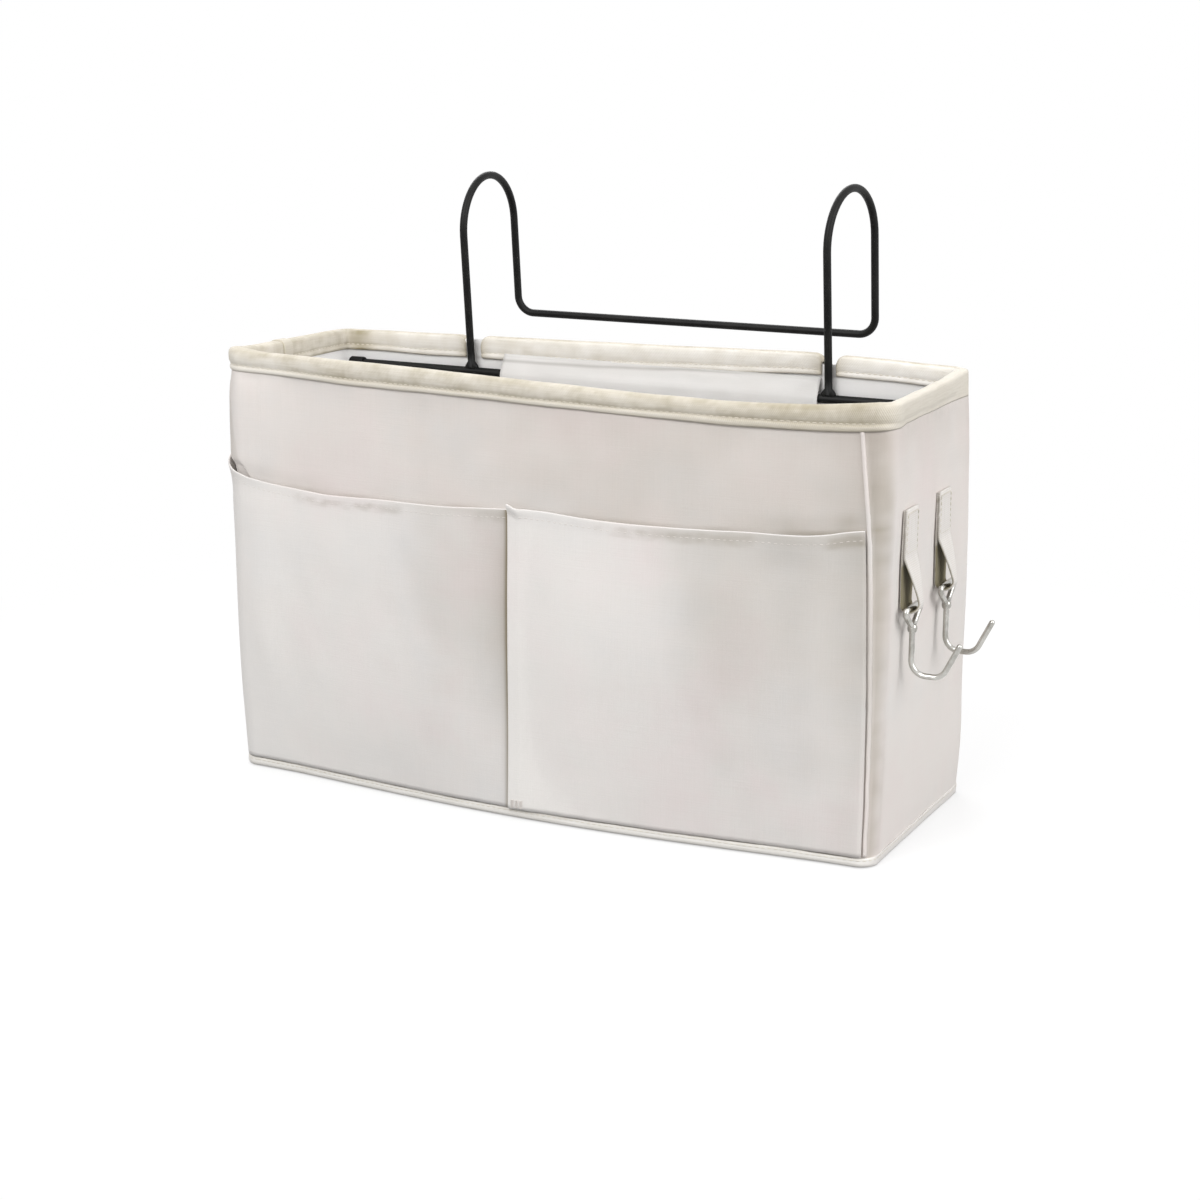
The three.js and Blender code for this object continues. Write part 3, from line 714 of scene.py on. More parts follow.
def canvas_tone(s, z, along, behind, tucked):
    """Tone of the canvas: darker to the right; painted shade over the mouths, in the pockets, under the binding and
    at the corners, with painted light in the tucked wedge at the left pocket's corner and a thin painted light at
    the binding's edge; painted shade high and painted light low on the sides; a faint random mottle.
    """
    x, y, _, _ = plan(s)
    mouth = mouth_at(along)
    on_front = smooth(-CORNER_Y, -HALF_DEPTH, y)
    blotch = np.clip(0.6 + rough(x / 22, y / 22, z / 9) + 0.6 * rough(x / 7, y / 7, z / 5), 0, 1.6)
    shade = np.interp(
        along,
        (-174, -138, -100, -70, 80, 105, 126, 148, 158, 168),
        (0, 0.16, 0.12, 0, 0, 0.12, 0.2, 0.26, 0.26, 0),
    )
    # Painted shade on the wall above the pocket mouths and behind the pockets, and a thin painted shadow line just
    # above the mouths.
    over_mouth = shade * bell(z, mouth + 3, 5.5) * (0.5 + 0.5 * blotch)
    in_pocket = smooth(-3, -6, z - mouth) * (along > LEFT_SIDE) * (along < CORNER_X - 4)
    gap = bell(z, mouth + 0.6, 1.3) * np.clip(1.6 * rough(x / 26, 3.3, 1) + 0.1, 0, 1)
    across = 0.24 * smooth(-150, 120, x) - 0.05 + 0.05 * bell(x, 0, 70)
    tone = on_front * (across + over_mouth + 0.25 * gap)
    # Painted shade inside the pockets, fading out at the far left end; where the front's left edge folds in, painted
    # light in the tucked-in wedge by the pocket corner and painted shade above it.
    tone += np.maximum(
        0.6 * in_pocket * smooth(-176, -150, along),
        behind * lerp(0.2, -0.25, tucked) * (z > 150),
    )
    # Painted shade below the rim binding on the front, with a thin painted light right at its edge.
    under_rim = rim_edge(s) - z
    tone += ((0.02 + 0.06 * blotch) * fade(under_rim, 6) - 0.18 * fade(under_rim, 1.6)) * on_front
    # Painted shade on the front-left corner where it turns from the light, high up.
    round_corner = smooth(-CORNER_X - 1, -CORNER_X - 6, along) * smooth(LEFT_SIDE - 6, LEFT_SIDE + 2, along)
    tone += 0.1 * round_corner * (z > 160)
    # On the sides and back: painted light low down and painted shade towards the top.
    tone += (1 - on_front) * (lerp(-0.2, 0.04, smooth(130, 200, z)) + 0.11 * smooth(185, 209, z))
    # Painted shade on the strip beside the right front seam and along the seam.
    past_seam = s - s_right_seam(z)
    strip = smooth(0.5, 3, past_seam) * smooth(17, 9, past_seam)
    tone += 0.1 * on_front * smooth(-30, -4, past_seam) * smooth(2, -1, past_seam) * smooth(150, 180, z)
    tone += 0.36 * strip * (0.7 + 0.3 * blotch) + 0.12 * fade(past_seam, 3)
    return tone + 0.06 * rough(x / 40, y / 40, z / 40) + 0.05 * rough(x / 15, y / 15, z / 15)


def build_canvas():
    corner = np.arange(-16.0, 12.0, 0.7)
    right = np.arange(FRONT_END - 4, BACK_START + 4, 1.3)
    rest = np.arange(12.0, PERIMETER - 16.0, 3.0)
    rest = rest[(rest < right[0] - 0.5) | (rest > right[-1] + 0.5)]
    stations = np.concatenate([np.sort(np.concatenate([rest, right])), PERIMETER + corner])
    fine, coarse = 0.9, 3.0
    spans = ((3.0, 146.0, coarse), (146.0, 172.0, fine), (172.0, 204.0, coarse), (204.0, 217.0, fine))
    levels = np.concatenate([*(np.arange(*span) for span in spans), [217.6]])
    s, z = np.meshgrid(stations, levels, indexing="ij")
    along = unrolled(s)
    behind = smooth(-0.8, 0.8, left_fold(z) - along) * smooth(LEFT_SIDE - 1, LEFT_SIDE + 4, along)
    tucked = smooth(165, 161, z)
    beneath = on_right_side(s) * smooth(1.0, 2.4, z - rim_edge(s))
    walls = wall(s, z, -1.6 * behind * tucked - 0.6 * beneath)
    under = base_rows(stations, ((-2.2, 0.06), (-0.7, 0.45), (0.0, 1.4)), 0.05)
    points = np.concatenate([under, walls], axis=1)
    uvs = np.concatenate([under[..., :2] + UNDER_UV, pairs(s, z)], axis=1)
    tone = canvas_tone(s, z, along, behind, tucked)
    tone = np.concatenate([np.full(under.shape[:2], 0.1), tone], axis=1)
    panels = ("front_panel", "right_side_panel", "back_panel", "left_side_panel", "bottom_panel")
    shell("canvas_shell", points, uvs, tone, canvas_cloth, "canvas", CANVAS, panels)


# The lining also folds over the wall's top, which shows at the hanger's notches.
def build_lining():
    stations = np.arange(0, PERIMETER, 2.6)
    levels = np.concatenate([np.arange(9.0, 205.0, 3.2), np.arange(205.0, 216.0, 0.8), [217.6]])
    s, z = np.meshgrid(stations, levels, indexing="ij")
    x, y, _, _ = plan(s)
    at_bar = smooth(30, 60, y) * smooth(180, 192, z)
    slack = 0.5 * rough(x / 60 + 3, y / 60, z / 60) + 0.25 * rough(x / 22, y / 22 + 5, z / 22)
    slack = np.clip(slack + 0.15, -0.25, 0.9) * (1 - at_bar)
    walls = surface(s, z, -WALL + 0.2 - slack)
    fold = ((-WALL + 0.5, 0.05), (-2.3, 0.2), (-0.3, 0.0), (0.2, -0.8))
    tops = np.stack([surface(stations, WALL_TOP + up, out) for out, up in fold], axis=1)
    floor = 4.8
    bends = ((-WALL - 5.2, floor), (-WALL - 2.6, 5.0), (-WALL - 1.0, 5.7), (-WALL - 0.2, 7.0))
    under = base_rows(stations, bends)
    points = np.concatenate([under, walls, tops], axis=1)
    height = points[..., 2]
    uvs = pairs(stations[:, None], height)
    uvs[:, :under.shape[1]] = under[..., :2] + UNDER_UV
    # Painted shade high on the lining under the binding and low by its floor, a painted shadow line along the
    # binding's lower edge, and painted shade on the fold over the wall's top at the notches.
    tone = 0.1 + 0.06 * fade(np.clip(208 - height, 0, None), 4) + 0.12 * fade(height - floor, 12)
    tone += 0.35 * bell(height, rim_edge_inside(stations[:, None]), 0.9)
    tone[:, -len(fold):] = 0.45
    panels = ("front_lining", "right_lining", "back_lining", "left_lining", "bottom_lining")
    shell("lining_shell", points, uvs, np.clip(tone, 0, 1), lining_cloth, "lining", LINING, panels, inward=True)


# Rim binding: a rolled tape with a ridge along its lower edge below the stitch groove.
# Its section goes up outside, down inside and back through its hollow: (distance out, share of its height).
RIM_OUTSIDE = (
    (0.15, 0.03), (0.85, -0.02), (1.3, 0.04), (1.5, 0.12), (1.35, 0.19), (0.95, 0.235), (0.9, 0.265), (1.15, 0.32),
    (1.6, 0.43), (1.8, 0.58), (1.75, 0.74), (1.4, 0.88), (0.75, 0.965), (-0.6, 1.0), (-2.3, 1.01),
)
RIM_INSIDE = (
    (-4.0, 1.0), (-5.4, 0.96), (-6.4, 0.87), (-6.85, 0.72), (-6.95, 0.56), (-6.7, 0.42), (-6.2, 0.31), (-5.9, 0.265),
    (-6.0, 0.235), (-6.5, 0.19), (-6.6, 0.12), (-6.3, 0.04), (-5.6, -0.02), (-4.9, 0.03),
)
RIM_HOLLOW = ((-4.8, 0.3), (-4.75, 0.85), (-2.3, 0.92), (0.1, 0.85), (0.1, 0.3))
RIM_MIDDLE = -2.3
RIM_SHOWN = len(RIM_OUTSIDE) + len(RIM_INSIDE)
OUTER_GROOVE, INNER_GROOVE = 6, len(RIM_OUTSIDE) + 7


def rim_rows(stations, ends=False):
    """Distance out, height and share of the height round the tape's section, in one row for each station."""
    section = np.array(RIM_OUTSIDE + RIM_INSIDE + RIM_HOLLOW)
    out, share = section[None, :, 0], section[None, :, 1]
    index = np.arange(len(section))
    s = stations[:, None]
    x, y, _, _ = plan(s)
    corner = bell(unrolled(s), -CORNER_X - 6, 13)
    patch_strength = 0.9 * smooth(80, 150, x) * smooth(58, 25, y)
    top = HEIGHT + rim_lift(s) + 1.5 * corner - patch_strength + 0.25 * rough(s / 18, 7.7, 0)
    if ends:
        radius = 4.2
        inner = np.clip(radius - np.minimum(s - stations[0], stations[-1] - s), 0, radius)
        top = top - 0.85 * (radius - np.sqrt(radius**2 - inner**2 + 1e-6))
    pull = 0.5 + 0.5 * np.cos(2 * math.pi * s / STITCH_PITCH)
    groove = bell(share, 0.26, 0.07)
    roll = np.where(out > RIM_MIDDLE, 1.0, -1.0)
    sides = (share < 0.92) & (index < RIM_SHOWN)
    bulk = 0.4 * rough(s / 21, 1.3, 0) + 0.22 * rough(s / 7, 5.1, 0) + 0.25 * rough(s / 6, share * 5, 2.2)
    out = out + roll * sides * (bulk * smooth(0.05, 0.5, share) - 0.22 * pull * groove)
    outer = (out > 0.1) & (index < len(RIM_OUTSIDE))
    out = out + 1.4 * (out > -2) * at_front_left(s)
    lining_face = -4.9
    out = np.where(out < lining_face, lining_face + (out - lining_face) * 0.5, out)
    low = np.where(roll < 0, rim_edge_inside(s), rim_edge(s))
    z = low + share * (top - low)
    flush = fabric(np.mod(s, PERIMETER), np.minimum(z, WALL_TOP)) + 0.15 - 0.03 * (share < 0.05)
    flush = np.maximum(flush, 0.75 * smooth(0.05, 0.4, share)) - 0.4 * smooth(0.85, 1.0, share)
    flush[:, 0] -= 0.7
    out = np.where(outer, lerp(out, flush, on_right_side(s)), out)
    return out, z, share


def build_rim_piece(name, start, end, node):
    stations = np.linspace(start, end, int((end - start) / 0.9))
    out, z, share = rim_rows(stations, ends=True)
    s = stations[:, None]
    x, y, _, _ = plan(s)
    inside = out < -4
    on_front = y < -CORNER_Y
    # Painted shade in the stitch groove, a darker middle band, painted shade on the lit top and a painted highlight
    # on the lower ridge.
    groove = np.where(on_front, np.interp(x, (-150, -110, 30, 70), (0.05, 0.36, 0.36, 0.24)), 0.24)
    tone = groove * bell(share, 0.28, 0.07) + 0.08 * bell(share, 0.5, 0.16) * ~inside
    tone += 0.2 * smooth(0.72, 0.95, share) - 0.12 * bell(share, 0.12, 0.06)
    tone -= 0.28 * smooth(-100, -150, x) * smooth(0.85, 0.6, share) * (y < 0) * ~inside
    blotch = rough(s / 11, share * 1.5, 1) + 0.6 * rough(s / 4, share * 4, 7)
    tone += (0.3 * np.clip(blotch, -0.4, 1) + 0.14 * rough(s / 1.7, share * 9, 4)) * smooth(0.15, 0.35, share)
    tone += 0.28 * smooth(20, 160, x) * on_front
    # Inside: painted light over the inner face, painted shade in the back-left corner fold and a painted shadow line
    # along the lower edge, with a random mottle.
    within = lerp(-0.5, -0.2, smooth(-110, -165, x)) - 0.25 * smooth(90, 150, x)
    within = lerp(within, 0.12, smooth(-CORNER_X - 1, -CORNER_X - 7, x))
    within = within + 0.6 * bell(share, 0, 0.05) + 0.3 * rough(s / 9, share * 2, 12)
    tone = np.where(inside, 0.6 * tone + within, lerp(tone, -0.12, on_right_side(s)))
    tone += 0.85 * bell(x, -162, 6.5) * smooth(40, 56, y) * inside
    # Painted shade at the tape's ends by the notches.
    tone = np.clip(lerp(tone, 0.45, fade(np.minimum(s - start, end - s), 2.5)), -1, 1)
    uvs = pairs(s, run_along(pairs(out[0], z[0])))
    piece(name, surface(s, z, out), capped_faces(*out.shape), rim_tape_cloth, "tape", uvs, tone, (node,))


def rim_stitch_line(start, end, inner):
    stations = np.arange(start, end, 1.0)
    column = INNER_GROOVE if inner else OUTER_GROOVE
    out, z = (rows[:, column] for rows in rim_rows(stations)[:2])
    normals = outward(stations, z) * (-1 if inner else 1)
    return stitches(surface(stations, z, out), normals, 0.5, length=2.3, lift=-0.02)


def build_rim():
    half_notch, right_less, margin = 4.6, 1.6, 2
    left, right = (x / RIM_SPREAD for x in HANGER_LEGS)
    long_start, long_end = s_back(left - half_notch), s_back(right + half_notch - right_less) + PERIMETER
    short_start, short_end = s_back(right - half_notch), s_back(left + half_notch)
    build_rim_piece("rim_tape", long_start, long_end, "rim_binding")
    build_rim_piece("rim_tape_back", short_start, short_end, "back_rim_binding")
    long = (long_start + margin, long_end - margin)
    short = (short_start + margin, short_end - margin)
    outer = ((long[0], FRONT_END + PERIMETER), (BACK_START + PERIMETER, long[1]), short)
    runs = [rim_stitch_line(*span, False) for span in outer]
    runs += [rim_stitch_line(*span, True) for span in (long, short)]
    piece("rim_stitches", *joined(runs), pale_thread, "tape")


# The end of the binding laps over its start on the left side.
def build_rim_join():
    along_side, length, count = 62, 11, 14
    start = BACK_START + 2 * CORNER_X + ARC + along_side
    stations = np.linspace(start, start + length, count)
    out, z, share = (rows[:, 1:RIM_SHOWN - 1] for rows in rim_rows(stations))
    s = stations[:, None]
    away = np.sign(out - RIM_MIDDLE) * (share < 0.9)
    from_end = np.minimum(np.arange(count), np.arange(count)[::-1])[:, None]
    full = np.clip(from_end, 0, 1)
    outer = surface(s, z + 0.6 * smooth(0.85, 1.0, share) * full, out + lerp(0.25, 0.75, full) * away)
    points = there_and_back(outer, surface(s, z, out + 0.1 * away))
    shape = points.shape[:2]
    # Painted shade at the lapped ends.
    tone = np.broadcast_to(0.4 * fade(from_end, 0.8) + 0.12, shape)
    uvs = pairs(s, points[..., 2])
    piece("rim_tape_join", points, capped_faces(*shape), rim_tape_cloth, "tape", uvs, tone)


# Foot band: a narrow tape turned under the base, sewn just below its upper edge.
def build_foot():
    stitch_height, clear, swelling = 3.55, 0.3, 0.8
    stations = np.arange(0, PERIMETER, 1.0)
    section = np.array([
        (0.05, FOOT_BAND), (0.75, FOOT_BAND + 0.02), (1.2, 4.1), (1.15, 3.5), (1.45, 2.6), (1.5, 1.7), (1.2, 0.8),
        (0.45, 0.2), (-0.8, 0.0), (-5.0, 0.0), (-5.0, 0.03), (-0.9, 0.3), (0.02, 1.6),
    ])
    s = stations[:, None]
    out, z = section[None, :, 0], section[None, :, 1]
    front = smooth(-CORNER_Y, -HALF_DEPTH, plan(s)[1])
    wave = 0.35 * rough(s / 24, 2.1, 0)
    z = z + np.where(z > 3, wave, 0)
    outer = out > clear
    out = np.where(outer, lerp(clear, out, 0.25 + 0.75 * front), out)
    out = np.where(outer, np.maximum(out, fabric(s, z) + clear), out)
    points = surface(s, z, out + at_front_left(s) * (out > -1) * swelling)
    # A painted shadow line along the band's top edge on the front; the sides take the canvas colour; a random
    # mottle.
    tone = 0.3 * fade(z - FOOT_BAND, 0.4) * front - 0.9 * (1 - front) + 0.06 * rough(s / 12, z / 3, 6)
    faces = grid_faces(*out.shape, closed_u=True, closed_v=True)
    uvs = pairs(s, run_along(section))
    piece("foot_tape", points, faces, foot_tape_cloth, "tape", uvs, tone, ("base_binding",))
    line = stitch_height + wave[:, 0]
    over = np.maximum(lerp(0.5, 1.15, front[:, 0]), fabric(stations, line) + clear)
    run = surface(stations, line, over + at_front_left(stations) * swelling)
    piece("foot_stitches", *stitches(run, outward(stations, line), 0.4), pale_thread, "tape")


# Lapped corner seams: a folded edge of cloth that stands a little proud.
SEAM_SECTION = np.array([
    (-1, 0.0), (-0.9, 0.55), (-0.55, 0.95), (0, 1.0), (0.6, 0.8), (1, 0.3), (1.05, 0.0), (0.5, -0.2), (-0.5, -0.2),
])


def build_seams():
    z = np.arange(FOOT_BAND + 0.6, 207.5, 1.5)[:, None]
    uneven = 0.12 * rough(z / 9, 3.7, 0)
    for name, line, width, rise, shade in (
        ("front_right_seam", s_right_seam(z), 2.0, 0.7, 0.2),
        ("front_left_seam", S_LEFT_SEAM, 2.6, 1.1, 0.0),
        ("back_right_seam", BACK_START - 1.0, 2.2, 0.7, 0.0),
        ("back_left_seam", BACK_START + 2 * CORNER_X + 1.0, 2.2, 0.7, 0.0),
    ):
        s = line + SEAM_SECTION[:, 0] * width / 2 + 2 * uneven
        points = wall(s, z, SEAM_SECTION[:, 1] * (rise + uneven))
        tone = np.broadcast_to(shade * bell(z, 100, 40), s.shape)
        piece(name, points, flipped(capped_faces(*s.shape)), canvas_cloth, "canvas", pairs(s, z), tone)


# Pockets: cloth that stands off the wall towards a sagging, folded mouth.
POCKET_UP = stepped((0, 0.94, 62), (0.945, 1.0, 12))[None]
MOUTH_LEVEL, MIDDLE_LEVEL = 155.0, 100.0
OFF_WALL = 0.35
MOUTH_ROLL = np.radians((30, 60, 90, 120, 150))
HEM_ROW = 68


def pocket_shell(name, start, end, columns, stand, folded, node, tone_at):
    """A pocket between two lines up the wall; also gives its outer rows of (s, height, distance out)."""
    across = columns[:, None]
    foot = FOOT_BAND + 0.5
    knots = RIGHT_MOUTH if folded else LEFT_MOUTH
    mouth = through(knots, unrolled(lerp(start(MOUTH_LEVEL), end(MOUTH_LEVEL), across)))
    z = foot + POCKET_UP * (mouth - foot)
    s = lerp(start(z), end(z), across) + 0 * z
    width = end(MIDDLE_LEVEL) - start(MIDDLE_LEVEL)
    inner = stand(across * width, (1 - across) * width, s, z)
    below = mouth - z
    thick = lerp(POCKET_CLOTH, POCKET_HEM, smooth(3.2, 2.3, below))
    if folded:
        edge = np.sqrt(1 - (1 - np.clip(across * width, 0, 1)) ** 2)
        inner = inner + thick * 0.5 * (1 - edge)
        thick = thick * np.maximum(edge, 0.08)
    outer = inner + thick + 0.12 * rough(s / 4.5, z / 20, 8.0) * fade(below - 3.7, 2.5)
    half = thick[:, -1:] / 2

    def over_mouth(outside, roll, inside):
        return np.concatenate([outside, roll, inside[:, ::-1]], axis=1)

    all_s = over_mouth(s, s[:, -1:] + 0 * MOUTH_ROLL, s)
    all_z = over_mouth(z, z[:, -1:] + half * np.sin(MOUTH_ROLL), z)
    all_out = over_mouth(outer, inner[:, -1:] + half + half * np.cos(MOUTH_ROLL), inner)
    tone = tone_at(all_s, all_z)
    along = unrolled(s)
    # Patches of painted shade under the hem's roll.
    hem_shade = sum(
        strength * smooth(long + 3, long - 3, np.abs(along - middle)) for middle, long, strength in HEM_SHADE_PATCHES
    )
    on_hem = np.exp(-(((below - 3.8) / 2.8) ** 4))
    rows, rolled = s.shape[1], s.shape[1] + len(MOUTH_ROLL)
    tone[:, :rows] += hem_shade * (1 + rough(s / 6, z / 3, 6)) * on_hem
    # A faint painted highlight on the rolled mouth; painted shade on the inner face, turned to painted light at the
    # left end.
    tone[:, rows:rolled] = -0.02
    tone[:, rolled:] = lerp(0.6, -0.4, smooth(-166, -178, along[:, ::-1]))
    points, uvs = wall(all_s, all_z, all_out), pairs(all_s, all_z)
    obj = piece(name, points, capped_faces(*all_s.shape), pocket_cloth, "canvas", uvs, tone, (node,))
    return obj, (s, z, outer)


def build_pockets():
    under = 6.0

    def stood_off(spread, lift, folds):
        return OFF_WALL + lift + np.clip(folds, -0.5, 1) * spread * smooth(0.03, 0.25, POCKET_UP)

    def pouch(spread):
        return spread * (1.2 * np.sin(POCKET_UP * math.pi / 2) ** 2 + 3.0 * np.sin(POCKET_UP * math.pi))

    def left_stand(from_left, from_right, s, z):
        spread = smooth(0, 30, from_left) * smooth(0, 40, from_right - under)
        lift = pouch(spread) + 0.5 * bell(from_left, 9, 5) * smooth(0.9, 1.0, POCKET_UP)
        folds = 0.6 * rough(s / 42, z / 55, 2.0) + 0.25 * rough(s / 15 + z / 40, z / 34, 5.0)
        return stood_off(spread, lift, folds)

    def right_stand(from_left, from_right, s, z):
        spread = smooth(-6, 40, from_left) * smooth(0, 30, from_right)
        lift = pouch(spread) + 1.6 * bell(from_right, 34, 18) * smooth(0.88, 1.0, POCKET_UP)
        over_left = 1.35 * fade(np.clip(from_left - 6, 0, None), 16)
        over_left = over_left + 1.5 * smooth(0.965, 1.0, POCKET_UP) * smooth(11, 3, from_left)
        folds = 0.6 * rough(s / 44 + 5, z / 60, 2.0) + 0.22 * rough(s / 16 - z / 45, z / 36, 9.0)
        return stood_off(spread, np.maximum(lift, over_left), folds)

    def uneven(s, z, seed):
        """Painted shade towards the mouth and painted light towards the foot, with a soft mottle."""
        fall = np.interp(z, (12, 40, 58, 76, 100, 125, 150, 153), (-0.12, -0.07, -0.04, 0.01, 0.07, 0.1, 0.13, 0.2))
        return fall + 0.05 * rough(s / 40, z / 40, seed) + 0.04 * rough(s / 14, z / 14, seed)

    def left_tone(s, z):
        near = np.clip(DIVIDER - s, 0, None)
        # Painted shadow to the left of the divider and a painted shade line in its crease; lighter away from the
        # divider.
        divider_shadow = np.interp(z, (10, 40, 60, 85, 105, 125, 150), (0, 0.1, 0.22, 0.34, 0.36, 0.3, 0.13))
        pale = 0.06 - 0.36 * smooth(DIVIDER - 30, DIVIDER - 95, s)
        return divider_shadow * fade(near, 11) + 0.85 * bell(near, 0, 1.8) + pale + uneven(s, z, 4)

    def right_tone(s, z):
        # Darker towards the far end and high up; painted light along the raised left edge by the divider.
        far = 0.06 * smooth(DIVIDER + 60, DIVIDER + 115, s) * smooth(60, 110, z)
        far = far + 0.09 * smooth(DIVIDER + 155, DIVIDER + 178, s)
        return lerp(-0.55, 0.1, smooth(DIVIDER, DIVIDER + 120, s)) + far + uneven(s, z, 14)

    left, left_rows = pocket_shell(
        "pocket_left", lambda z: S_LEFT_SEAM + 1.6, lambda z: DIVIDER + under,
        stepped((0, 0.1, 16), (0.11, 0.95, 72), (0.953, 1, 16)), left_stand, False, "left_pocket", left_tone,
    )
    right, right_rows = pocket_shell(
        "pocket_right", lambda z: DIVIDER, lambda z: s_right_seam(z) - 1.6,
        stepped((0, 0.006, 5), (0.009, 0.04, 8), (0.05, 1, 84)), right_stand, True, "right_pocket", right_tone,
    )

    runs = []
    for rows in (left_rows, right_rows):
        s, z, outer = (row[:, HEM_ROW] for row in rows)
        runs.append(stitches(wall(s, z, outer), outward(s, z), 0.3, lift=-0.06))
    s, _, outer = (row[:, 2] for row in right_rows)
    for level in np.linspace(6.0, 9.6, 7):
        reach = np.linspace(DIVIDER + 1.5, DIVIDER + 8.5, 9)
        tack = wall(reach, level, np.interp(reach, s, outer))
        runs.append(stitches(tack, outward(reach, level), 0.42, pitch=2.4, length=2.3, lift=0.05, slant=0.25))
    piece("pocket_stitches", *joined(runs), cloth_thread, "canvas")


# Hanger: black wire, support bar, weld beads, end caps and the lining sleeve, in the leaned frame of the bar.
LEAN = math.atan2(BACK_LEAN, HEIGHT)


def on_bar(points):
    x, y, z = np.moveaxis(np.asarray(points, float), -1, 0)
    c, s = math.cos(LEAN), math.sin(LEAN)
    return np.stack([x, HANGER_Y + c * y - s * z, HANGER_Z + s * y + c * z], axis=-1)


def across_box(node):
    """The left and right ends of a CAD solid."""
    low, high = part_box(node)
    return low.x / MM, high.x / MM


def build_hanger():
    sides = 28

    def hung(name, bar, material, slot, *nodes):
        verts, faces = bar
        piece(name, on_bar(verts), faces, material, slot, replaces=nodes, body="hanger")

    left, right = HANGER_LEGS
    foot, arch = BAR_RADIUS + 0.2, RAIL_SPAN / 2
    route = rounded_path([
        ((left, 0, foot), 0),
        ((left, 0, HOOK_RISE), arch),
        ((left, RAIL_SPAN, HOOK_RISE), arch),
        ((left, RAIL_SPAN, BACK_BAR_RISE), HANGER_BEND),
        ((right + HOOK_TOE, RAIL_SPAN, BACK_BAR_RISE), HANGER_BEND),
        ((right + HOOK_TOE, RAIL_SPAN, HOOK_RISE), arch),
        ((right, 0, HOOK_RISE), arch),
        ((right, 0, foot), 0),
    ])
    hung("hanger_tube", tube(dense(route, 8.0), HANGER_RADIUS, sides), black_coat, "black_wire", "hanger_wire")

    rod = dense(np.array([(x, 0, 0) for x in across_box("support_bar")]), 6.0)
    radii = np.full(len(rod), BAR_RADIUS)
    radii[[0, -1]] *= 0.85
    hung("bar_rod", tube(rod, radii, sides), black_coat, "black_wire", "support_bar")

    beads = []
    bead_radii = [1.6, 1.75, 1.85, 1.8, 1.6, 1.3, 0.9]
    for x in HANGER_LEGS:
        for side in (-1, 1):
            route = [(x + side * (1.0 + 2.6 * t), 0.0, 1.0 + 3.2 * (1 - t) ** 1.6) for t in np.linspace(0, 1, 7)]
            beads.append(tube(route, bead_radii, 14, True, True))
    hung("weld_beads", joined(beads), black_coat, "black_wire")

    cap_along = np.array([0.0, 0.12, 0.5, 1.2, 7.6, 8.1, 8.6, 9.0]) / 9.0
    cap_radii = [1.2, 2.2, 2.85, 3.15, 3.2, 3.25, 3.2, 2.95]
    for name, node, end in (("cap_left", "bar_cap_left", 1), ("cap_right", "bar_cap_right", -1)):
        tip, mouth = across_box(node)[::end]
        rings = [(lerp(tip, mouth, a), 0, 0) for a in cap_along]
        hung(name, tube(rings, cap_radii, sides), black_vinyl, "black_vinyl", node)


def line_normals(line):
    tangent = np.gradient(line, axis=0)
    return unit(np.stack([-tangent[:, 1], tangent[:, 0]], axis=1))


def build_sleeve():
    start, end = across_box("bar_sleeve")
    xs = np.linspace(start, end, 110)
    x = xs[:, None]
    seam = [(3.05, -16.2), (3.02, -14.4), (2.7, -13.0), (1.7, -12.0), (0.2, -11.2), (-1.4, -9.9)]
    front = [(-2.5, -8.0), (-3.0, -6.2), (-3.2, -4.4), (-3.3, -2.8), (-3.3, -1.4), (-3.2, 0.0), (-2.9, 1.3)]
    steps = np.array([0.2, 0.4, 0.55, *np.arange(0.65, 0.99, 0.06)])[:, None]
    taut = lerp(np.array(front[-1]), np.array([2.7, 9.4]), steps)
    centre = np.concatenate([seam, front, taut, [(2.95, 10.2)]])
    normal = line_normals(centre)
    hang = np.linspace(0, 1, len(centre))
    loose = smooth(0.1, 0.35, hang) * smooth(0.95, 0.75, hang)
    ripple = 0.28 * np.clip(rough(x / 9, hang * 3, 2.2) + 0.35, 0, 1) * loose
    outer, inner = (centre + normal * (ripple + side)[..., None] for side in (0.32, -0.3))
    ring = there_and_back(outer, inner)
    points = np.stack(np.broadcast_arrays(x, ring[..., 0], ring[..., 1]), axis=-1)
    world = on_bar(points)
    run = run_along(centre)
    across = np.concatenate([run, run[::-1]])
    # Darker all over, with painted light towards the lower part and a painted shadow line along the binding's lower
    # edge.
    tone = lerp(0.6, 0.4, smooth(4, -6, points[..., 2])) + 0.08 * rough(x / 18, across / 6, 3)
    tone += 0.35 * bell(world[..., 2], rim_edge_inside(s_back(x / RIM_SPREAD)), 0.8)
    faces = capped_faces(*tone.shape)
    sleeve = piece("sleeve", world, faces, lining_cloth, "lining", pairs(x, across), tone, ("bar_sleeve",))
    line = on_bar([(at, 2.7, -15.0) for at in xs])
    facing = on_bar((0, -1, 0)) - on_bar((0, 0, 0))
    runs = stitches(line, np.broadcast_to(facing, line.shape), 0.42)
    piece("sleeve_stitches", *runs, pale_thread, "lining")


# Webbing tabs: two plies sewn flat, then a loop gathered into the hook's eye.
LOOP_Z = 123.1
LOOP_RADIUS = 3.8
LOOP_OUT = 4.7
BACK_PLY, FRONT_PLY = 0.9, 2.15
HALF_PLY = 0.56


